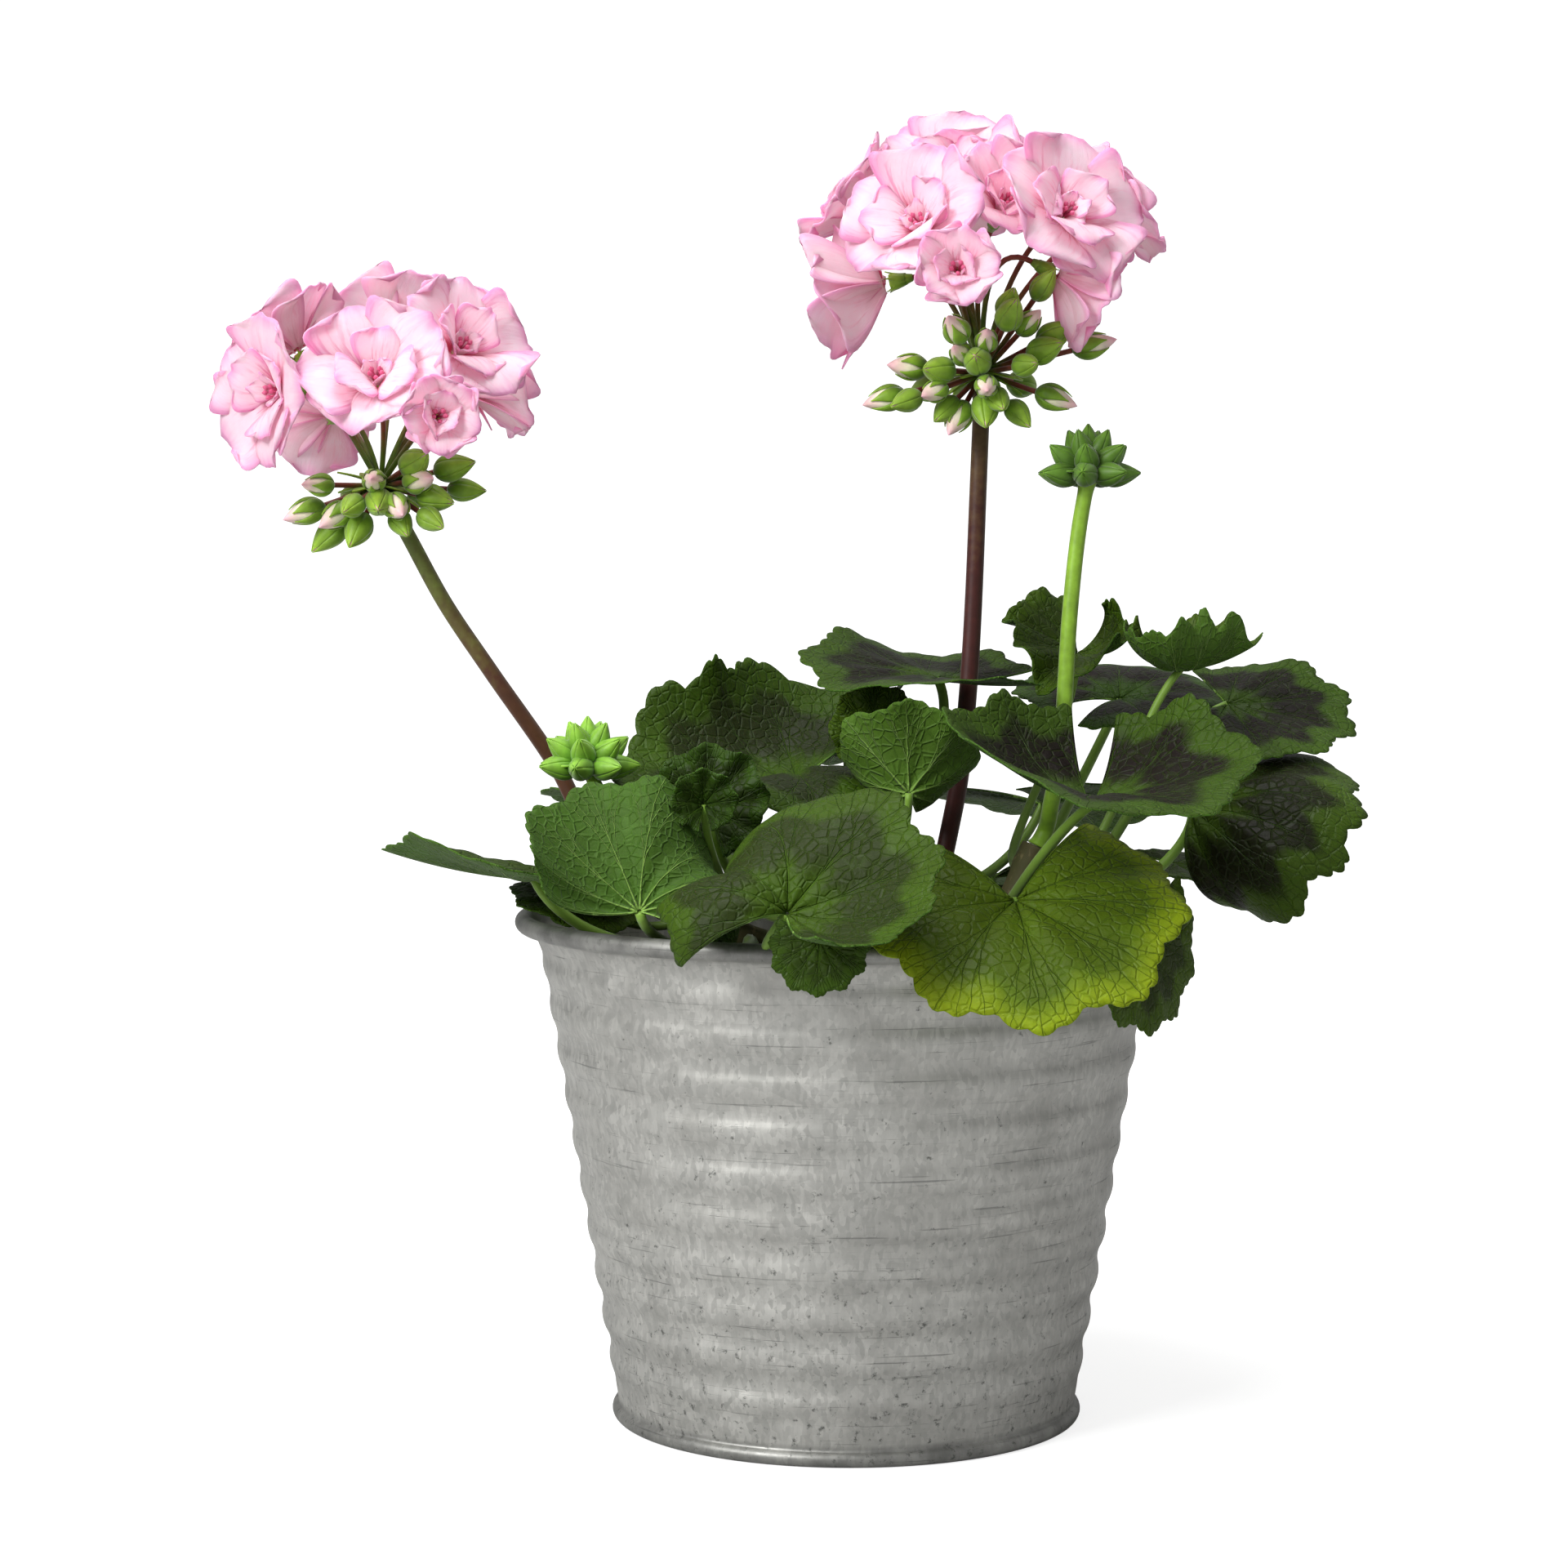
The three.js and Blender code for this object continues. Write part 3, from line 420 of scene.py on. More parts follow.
draw_scale = (1 / (DRAW_LINE_MM * MM), 1 / (DRAW_LENGTH_MM * MM), 1)
draw_space = add(tree, "Mapping", {"Vector": flat, "Scale": draw_scale}).outputs[0]
draw_lines = noise(tree, draw_space, 1.0, 3.0, 0.6)
scratch_scale = (1 / (SCRATCH_LENGTH_MM * MM), 1 / (SCRATCH_MM * MM), 1)
scratch_space = add(tree, "Mapping", {"Vector": flat, "Scale": scratch_scale}).outputs[0]
scratch_noise = add(tree, "TexNoise", {"Vector": scratch_space, "Scale": 1.0, "Detail": 4.0, "Roughness": 0.75,
                                       "Distortion": 0.3}).outputs["Fac"]
scratches = ramp(tree, scratch_noise, 0.61, 0.66)
patches = noise(tree, place, 1 / (17 * MM), 8.0, 0.68)
oxide = ramp(tree, patches, 0.44, 0.68, 0, 0.5)
specks_noise = noise(tree, place, 1 / (1.9 * MM), 6.0, 0.7)
low_down = ramp(tree, split.outputs["Z"], 0, 90 * MM, 0.05, 0.0)
specks_noise = calc(tree, "ADD", specks_noise, low_down)
specks = ramp(tree, specks_noise, 0.62, 0.72)

bright = mixed(tree, crystal, "#b3b3ae", "#e6e5df")
line_share = calc(tree, "MULTIPLY_ADD", draw_lines, 0.35, 0.45)
lined = mixed(tree, line_share, "#a8a8a3", bright)
dulled = mixed(tree, oxide, lined, "#a09f9a")
specked = mixed(tree, specks, dulled, "#6f706c")
scratch_share = calc(tree, "MULTIPLY", scratches, 0.5)
scratched = mixed(tree, scratch_share, specked, "#5e5f5d")
rim = ramp(tree, split.outputs["Z"], 108.5 * MM, 110 * MM)
foot = ramp(tree, split.outputs["Z"], 4.9 * MM, 3.4 * MM)
edge = calc(tree, "MAXIMUM", rim, foot)
edge_noise = noise(tree, place, 1 / (9 * MM), 5.0)
tarnish = calc(tree, "MULTIPLY", edge, edge_noise)
finished = mixed(tree, tarnish, scratched, "#555654")
tree.links.new(finished, shader.inputs["Base Color"])
settle(shader, {"Metallic": 0.72})
dullness = calc(tree, "ADD", oxide, crystal)
roughness = ramp(tree, dullness, 0, 1.5, 0.4, 0.62)
tree.links.new(roughness, shader.inputs["Roughness"])
relief = calc(tree, "SUBTRACT", draw_lines, scratches)
bumpy(tree, shader, relief, 0.25, 0.12)

make_piece("zinc_pot_wall", [pot_shape], [zinc], "pot_wall")
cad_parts["pot_base"].data.materials.clear()
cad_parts["pot_base"].data.materials.append(zinc)

# %% [markdown]
# ## Compost and stems
# Peaty compost fills the pot to a finger below the rim. From it rises a short trunk that forks low
# into four branches. Zonal geraniums are half woody: the bark is green-brown, ringed by the scars of
# fallen leaves. Most of it hides under the leaves, and glimpses show between them.

# %% Compost
TRUNK_RADIUS = 5.5
TRUNK_FOOT = 74
TRUNK_X = 2
FORK = SOIL_LEVEL + 5
rng = np.random.default_rng(41)

soil_top = wall_radius(SOIL_LEVEL) - WALL_SHEET - CLEARANCE - 0.5
soil_foot = wall_radius(FOOT_BEAD_HEIGHT) - WALL_SHEET - CLEARANCE - 2
soil_angle = np.linspace(0, 2 * math.pi, 180, endpoint=False)
soil_rings = np.linspace(0.12, 1, 48)
crumb = rng.normal(0, 1, (len(soil_rings), len(soil_angle)))
coarse = np.sin(soil_rings[:, None] * 23 + 2 * soil_angle) * np.sin(5 * soil_angle + soil_rings[:, None] * 9)
lift = SOIL_LEVEL - 0.5 + 0.6 * coarse + 0.35 * crumb
lift[0] = SOIL_LEVEL
soil_radius = np.concatenate([soil_top * soil_rings, [soil_foot]])[:, None]
lift = np.concatenate([lift, np.full((1, 180), FOOT_BEAD_HEIGHT)])
soil_points = np.stack([soil_radius * np.cos(soil_angle), soil_radius * np.sin(soil_angle), lift], -1)
index = np.arange(soil_points.shape[0] * 180).reshape(-1, 180)
soil_faces = np.stack([index[:-1], index[1:], np.roll(index[1:], -1, 1), np.roll(index[:-1], -1, 1)], -1)
caps = [tuple(index[0].tolist()), tuple(index[-1][::-1].tolist())]

potting, tree, shader = new_material("peat_compost")
place = add(tree, "TexCoord").outputs["Object"]
crumbs = noise(tree, place, 1 / (2.2 * MM), 6.0, 0.7)
fibres = add(tree, "TexVoronoi", {"Vector": place, "Scale": 1 / (3.5 * MM)}, feature="F1").outputs["Distance"]
brown = mixed(tree, crumbs, "#1b120c", "#4a3524")
tree.links.new(brown, shader.inputs["Base Color"])
settle(shader, {"Roughness": 0.95})
grain = calc(tree, "ADD", crumbs, fibres)
bumpy(tree, shader, grain, 0.9, 1.2)

soil_mesh = bpy.data.meshes.new("compost")
soil_mesh.from_pydata((soil_points.reshape(-1, 3) * MM).tolist(), [], soil_faces.reshape(-1, 4).tolist() + caps)
soil_mesh.polygons.foreach_set("use_smooth", [True] * len(soil_mesh.polygons))
soil_mesh.materials.append(potting)
compost = bpy.data.objects.new("compost", soil_mesh)
bpy.context.scene.collection.objects.link(compost)
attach(compost, "root")
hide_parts("soil")
print("compost:", len(soil_mesh.polygons), "faces")

# %% [markdown]
# The trunk and branches grew, so nothing on them is straight: each branch is a smooth curve through
# four places, and every leaf stalk springs from its side. A centripetal curve keeps short and long
# steps equally smooth.

# %% Curves of growth
def smooth_line(points, places):
    """Points of a centripetal curve through the given ones, at places from 0 to 1."""
    points = np.asarray(points, float)
    steps = len(points) - 1
    padded = np.concatenate([[2 * points[0] - points[1]], points, [2 * points[-1] - points[-2]]])
    found = []
    for place in np.atleast_1d(places):
        i = min(int(place * steps), steps - 1)
        t = place * steps - i
        p = padded[i:i + 4]
        gap = np.linalg.norm(np.diff(p, axis=0), axis=1) ** 0.5
        first = ((p[1] - p[0]) / gap[0] - (p[2] - p[0]) / (gap[0] + gap[1]) + (p[2] - p[1]) / gap[1]) * gap[1]
        second = ((p[2] - p[1]) / gap[1] - (p[3] - p[1]) / (gap[1] + gap[2]) + (p[3] - p[2]) / gap[2]) * gap[1]
        found.append(p[1] + first * t + (3 * (p[2] - p[1]) - 2 * first - second) * t ** 2
                     + (2 * (p[1] - p[2]) + first + second) * t ** 3)
    return np.array(found)


def bezier(controls, places):
    controls = np.asarray(controls, float)
    degree = len(controls) - 1
    t = np.asarray(places, float)[:, None]
    return sum(math.comb(degree, k) * (1 - t) ** (degree - k) * t ** k * controls[k] for k in range(degree + 1))


BRANCHES = {
    "left": [(TRUNK_X, 0, FORK), (-14, -5, 105), (-30, -9, 112), (-39, -8, 126)],
    "right": [(TRUNK_X, 0, FORK), (18, -6, 105), (34, -8, 113), (42, -6, 128)],
    "centre": [(TRUNK_X, 0, FORK), (3, 4, 112), (0, 5, 122), (2, 6, 134)],
    "back": [(TRUNK_X, 0, FORK), (6, 16, 105), (9, 30, 113), (11, 36, 126)],
}
BRANCH_RADIUS = 3.6


def spring(branch, part, towards):
    """Where a stalk leaves its branch, just off the bark, and the way straight out from it."""
    line = BRANCHES[branch]
    place = smooth_line(line, part)[0]
    along = unit(smooth_line(line, min(part + 1e-4, 1))[0] - smooth_line(line, part - 1e-4)[0])
    if part == 1:
        return place + along * CLEARANCE, along
    out = np.subtract(towards, place)
    out = unit(out - along * (out @ along))
    return place + out * (BRANCH_RADIUS + CLEARANCE), out


# %% [markdown]
# ** Young pelargonium wood.** Green-brown skin with pale lengthwise flecks (lenticels) and a slight swelling at
# every old leaf scar. The skin colour is painted darker than the wood itself: painted shade, for the shade the
# leaves cast on the stems. It is soft wood: rough, not shiny.

# %% Bark and the stems
RING_MM = 9
bark, tree, shader = new_material("pelargonium_bark_with_painted_shade")
place = add(tree, "TexCoord").outputs["Object"]
blotch = noise(tree, place, 1 / (5 * MM), 5.0)
fleck_space = add(tree, "Mapping", {"Vector": place, "Scale": (900, 900, 160)}).outputs[0]
flecks = noise(tree, fleck_space, 1.0, 2.0)
# The two skin colours are the wood's green-brown painted darker: painted shade from the leaves above.
skin = mixed(tree, blotch, "#444d20", "#4c3e26")
flecked = ramp(tree, flecks, 0.58, 0.7)
bark_with_painted_shade_colour = mixed(tree, flecked, skin, "#6e6540")
tree.links.new(bark_with_painted_shade_colour, shader.inputs["Base Color"])
settle(shader, {"Roughness": 0.75, "IOR": 1.45})
bumpy(tree, shader, blotch, 0.5, 0.5)

trunk_line = np.linspace((TRUNK_X, 0, TRUNK_FOOT), (TRUNK_X, 0, FORK + 4), 30)
trunk_girth = TRUNK_RADIUS * np.clip(np.linspace(0.75, 3, 30), 0, 1) * np.clip(np.linspace(6, 0.75, 30), 0, 1)
stem_shapes = [tube(trunk_line, trunk_girth, 18, flute=0.04)]
for number, line in enumerate(BRANCHES.values()):
    share = np.linspace(0, 1, 60)
    scars = 1 + 0.07 * np.exp(-((share * 42 + 2 * number) % RING_MM - RING_MM / 2) ** 2 / 1.2)
    stem_shapes.append(tube(smooth_line(line, share), BRANCH_RADIUS * 0.95 * scars, 16, flute=0.03))
make_piece("forked_stems", stem_shapes, [bark], "stems")

# %% [markdown]
# ## Leaves
# A zonal leaf is a round blade with seven shallow lobes and a rounded-toothed edge, open where its
# stalk joins. Seven main veins fan out from the stalk, one to each lobe, and the blade is pleated
# between them. Here every blade is one function of two numbers: the angle round the stalk and the
# share of the way to the edge. Each leaf then only needs where it is, which way it looks and how
# its seven lobes rise or droop.

# %% The form of a leaf
LOBE_ANGLE = 0.715
BLADE_HALF_SPAN = 2.9
LOBE_DEPTH = 0.045
TEETH_PER_LOBE = 4
TOOTH_DEPTH = 0.036
PLEAT = 0.022
BLADE_SKIN = 0.24
PETIOLE_RADIUS = 1.25


def through_seven(values, x):
    place = np.clip(x + 3, 0, 5.999999)
    i = np.floor(place).astype(int)
    t = place - i
    a, b, c, d = (np.asarray(values, float)[np.clip(i + k, 0, 6)] for k in (-1, 0, 1, 2))
    return 0.5 * (2 * b + (c - a) * t + (2 * a - 5 * b + 4 * c - d) * t * t
                  + (3 * b - a - 3 * c + d) * t ** 3)


def leaf_axes(leaf):
    midrib = unit(leaf["midrib"])
    face = np.asarray(leaf["face"], float)
    face = unit(face - midrib * (face @ midrib))
    return midrib, face, np.cross(face, midrib)


def blade_grid(leaf, columns, rows, seed):
    phases = np.random.default_rng(seed).uniform(0, 2 * math.pi, 6)
    midrib, face, left = leaf_axes(leaf)
    size = leaf["size"] * leaf.get("trim", 1)
    phi = np.linspace(-BLADE_HALF_SPAN, BLADE_HALF_SPAN, columns)[None, :]
    share = (np.linspace(0.012, 1, rows) ** 0.9)[:, None]
    lobe = phi / LOBE_ANGLE
    shorter = 1 - leaf.get("back", 0.25) * (np.abs(phi) / math.pi) ** 2.2
    uneven = lobe + 0.06 * np.sin(3 * lobe + phases[0])
    tooth = 1 + TOOTH_DEPTH * (np.abs(np.cos(math.pi * TEETH_PER_LOBE * uneven)) ** 0.8 - 0.6)
    near_edge = np.clip((share - 0.7) / 0.3, 0, 1)
    reach = shorter * (1 + LOBE_DEPTH * np.cos(2 * math.pi * lobe)) * (1 + (tooth - 1) * near_edge)
    reach = reach * (0.972 + 0.012 * np.sin(2.3 * phi + phases[1]))
    start = math.radians(leaf["cup"])
    rise = np.radians(through_seven(leaf["rise"], lobe))
    bend = 2 * (rise - start) / shorter
    bend = np.where(np.abs(bend) < 1e-6, 1e-6, bend)
    r = share * reach
    flat = size * (np.sin(start + bend * r) - np.sin(start)) / bend
    wave_height, waves = leaf.get("ruffle", (0, 0))
    up = size * (np.cos(start) - np.cos(start + bend * r)) / bend + wave_height * r ** 3 * np.sin(waves * phi)
    pleats = 0.5 - 0.5 * np.cos(2 * math.pi * lobe)
    up = up + size * PLEAT * (pleats - 0.5) * np.sin(math.pi * np.clip(share, 0, 1) ** 0.8) ** 0.7
    up = up + size * 0.008 * share ** 2 * (np.sin(3.1 * phi + phases[2]) + np.sin(5.3 * phi + phases[3]))
    up = up + size * 0.006 * share ** 5 * np.sin(17 * phi + phases[4])
    way = phi * leaf.get("spread", 1)
    grid = (np.asarray(leaf["at"], float) + (flat * np.cos(way))[..., None] * midrib
            + (flat * np.sin(way))[..., None] * left + up[..., None] * face)
    ones = np.ones_like(r)
    blade = np.stack([lobe * ones, share * ones, r * size], -1)
    return grid, blade


def leaf_shapes(leaf, seed):
    size = leaf["size"]
    columns, rows = (177, 22) if size > 24 else (133, 16) if size > 15 else (91, 12)
    grid, blade = blade_grid(leaf, columns, rows, seed)
    tint = np.broadcast_to([leaf["zone"], leaf["yellow"], seed * 0.37], blade.shape)
    skin = BLADE_SKIN * (1.1 - 0.4 * blade[..., 1])
    blade_shape = sheet(grid, skin, skin, marks={"blade": blade, "tint": tint})
    midrib, face, left = leaf_axes(leaf)
    at = np.asarray(leaf["at"], float)
    root, out = spring(leaf["branch"], leaf["part"], leaf["at"])
    length = np.linalg.norm(at - root)
    arrive = unit(leaf["arrive"]) if "arrive" in leaf else unit(face * 0.7 + midrib * 0.5)
    line = bezier([root, root + out * 0.3 * length, at - arrive * 0.35 * length, at], np.linspace(0, 1, 26))
    radius = (PETIOLE_RADIUS if size > 24 else 0.8 * PETIOLE_RADIUS) * np.linspace(1.12, 0.86, 26)
    radius[:2] *= (1.25, 1.12)
    stalk = tube(line, radius, 10, finish=2, flute=0.05, ribs=3)
    stalk[3]["tint"] = np.broadcast_to([leaf["zone"], leaf["yellow"], 0], (len(stalk[0]), 3))
    return [blade_shape, stalk]


# %% [markdown]
# **The leaf's skin.** Chlorophyll green, satin rather than glossy, since both sides carry fine hairs:
# sheen stands for them. A brown zone of anthocyanin runs round the blade between stalk and edge. The
# veins are drawn from the blade's own two numbers: one along each lobe and pairs that branch off it,
# so they always reach the right teeth. On the upper side they are sunk and pale, below they stand
# proud. Leaves let some light through, which is what the subsurface weight is for.

# %% Leaf materials
NET_MM = 2.4
VEIN_MM = 0.42


def leaf_pattern(tree):
    """The vein mask, the blade's three numbers and the leaf's tint, as sockets."""
    mark = add(tree, "SeparateXYZ", {0: add(tree, "Attribute", attribute_name="blade").outputs["Vector"]})
    tint = add(tree, "SeparateXYZ", {0: add(tree, "Attribute", attribute_name="tint").outputs["Vector"]})
    lobe, share, reach = mark.outputs
    wander = noise(tree, add(tree, "CombineXYZ", {0: lobe, 1: share, 2: tint.outputs[2]}).outputs[0], 5.0, 2.0)
    bent = calc(tree, "MULTIPLY_ADD", wander, 0.10, lobe)
    middle = calc(tree, "ADD", bent, -0.05)
    aside = calc(tree, "PINGPONG", middle, 0.5)
    arc_mm = calc(tree, "MULTIPLY", reach, LOBE_ANGLE)
    nearest = None
    for slope, start in ((0, 0), (0.62, 0.28), (0.42, 0.52), (0.26, -0.15)):
        line = calc(tree, "MULTIPLY_ADD", share, slope, -slope * start)
        gap = calc(tree, "SUBTRACT", aside, line)
        gap = calc(tree, "ABSOLUTE", gap)
        width = 1.0 if slope == 0 else 1.7
        gap = calc(tree, "MULTIPLY", gap, width)
        if start > 0:
            late = calc(tree, "LESS_THAN", share, start)
            gap = calc(tree, "ADD", gap, late)
        if start < 0:
            late = calc(tree, "LESS_THAN", share, 0.62)
            gap = calc(tree, "ADD", gap, late)
        nearest = gap if nearest is None else calc(tree, "MINIMUM", nearest, gap)
    gap_mm = calc(tree, "MULTIPLY", nearest, arc_mm)
    wide = calc(tree, "MULTIPLY_ADD", share, -0.6 * VEIN_MM, VEIN_MM)
    veins = ramp(tree, gap_mm, wide, 0.0, 0.0, 1, smooth=True)
    place = add(tree, "TexCoord").outputs["Object"]
    cells = add(tree, "TexVoronoi", {"Vector": place, "Scale": 1 / (NET_MM * MM)}, feature="DISTANCE_TO_EDGE")
    net = ramp(tree, cells.outputs["Distance"], 0.13, 0.0)
    return veins, net, share, lobe, tint.outputs, place, wander


def leaf_side(name, upper):
    material, tree, shader = new_material(name)
    veins, net, share, lobe, tint, place, wander = leaf_pattern(tree)
    clouds = noise(tree, place, 1 / (11 * MM), 4.0)
    grain = noise(tree, place, 1 / (0.9 * MM), 3.0)
    shades = ("#1d2f08", "#37550d", "#86a31d") if upper else ("#2c460d", "#436a1c", "#7c9f38")
    green = mixed(tree, clouds, shades[0], shades[1])
    green = mixed(tree, tint[1], green, shades[2])
    lobed = calc(tree, "MULTIPLY", lobe, 2 * math.pi)
    lobed = calc(tree, "COSINE", lobed)
    ring = calc(tree, "MULTIPLY_ADD", lobed, -0.035, share)
    ring = calc(tree, "MULTIPLY_ADD", wander, 0.16, ring)
    inner = ramp(tree, ring, 0.30, 0.52, smooth=True)
    outer = ramp(tree, ring, 0.93, 0.80, smooth=True)
    band = calc(tree, "MULTIPLY", inner, outer)
    band = calc(tree, "MULTIPLY", band, tint[0])
    patchy = ramp(tree, clouds, 0.25, 0.65, 0.92, 1.1)
    band = add(tree, "Math", {0: band, 1: patchy}, operation="MULTIPLY", use_clamp=True).outputs[0]
    if not upper:
        band = calc(tree, "MULTIPLY", band, 0.45)
    zoned = mixed(tree, band, green, "#150d0a" if upper else "#2a3216")
    ragged = calc(tree, "MULTIPLY_ADD", clouds, 0.3, share)
    edge = ramp(tree, ragged, 0.92, 1.22)
    ageing = ramp(tree, tint[1], 0.2, 0.34)
    edge = calc(tree, "MULTIPLY", edge, ageing)
    edged = mixed(tree, edge, zoned, "#a9bd1a")
    net_share = calc(tree, "MULTIPLY", net, 0.1 if upper else 0.12)
    netted = mixed(tree, net_share, edged, "#4c7019" if upper else "#64903a")
    vein_share = calc(tree, "MULTIPLY", veins, 0.3 if upper else 0.9)
    veined = mixed(tree, vein_share, netted, "#5f8626" if upper else "#8db454")
    tree.links.new(veined, shader.inputs["Base Color"])
    settle(shader, {"Roughness": 0.48 if upper else 0.6, "IOR": 1.42, "Subsurface Weight": 0.12,
                    "Subsurface Radius": (0.5, 1.0, 0.2), "Subsurface Scale": 1 * MM,
                    "Specular IOR Level": 0.2, "Sheen Weight": 0.01 if upper else 0.03,
                    "Sheen Roughness": 0.45})
    raised = calc(tree, "MULTIPLY", veins, -1.2 if upper else 1.6)
    quilt = calc(tree, "MULTIPLY_ADD", net, -0.5 if upper else 0.6, raised)
    relief = calc(tree, "MULTIPLY_ADD", grain, 0.35, quilt)
    bumpy(tree, shader, relief, 0.95, 0.45)
    return material


leaf_upper = leaf_side("leaf_upper_skin", True)
leaf_under = leaf_side("leaf_underside", False)

stalk_skin, tree, shader = new_material("leaf_stalk_skin")
place = add(tree, "TexCoord").outputs["Object"]
mark = add(tree, "SeparateXYZ", {0: add(tree, "Attribute", attribute_name="blade").outputs["Vector"]})
mottle = noise(tree, place, 1 / (3 * MM), 3.0)
fresh = mixed(tree, mottle, "#6f962c", "#86ad3c")
aged = mixed(tree, mark.outputs[1], "#5d7a26", fresh)
tree.links.new(aged, shader.inputs["Base Color"])
settle(shader, {"Roughness": 0.5, "IOR": 1.42, "Subsurface Weight": 0.15,
                "Subsurface Radius": (0.6, 1.0, 0.3), "Subsurface Scale": 1 * MM, "Sheen Weight": 0.3})
print("leaf materials made")

# %% [markdown]
# The twenty-five leaves, each with its own age: young ones are light and hardly zoned, old ones have
# the dark ring, and the oldest at the rim yellow from the edge. `zone` and `yellow` hold that.

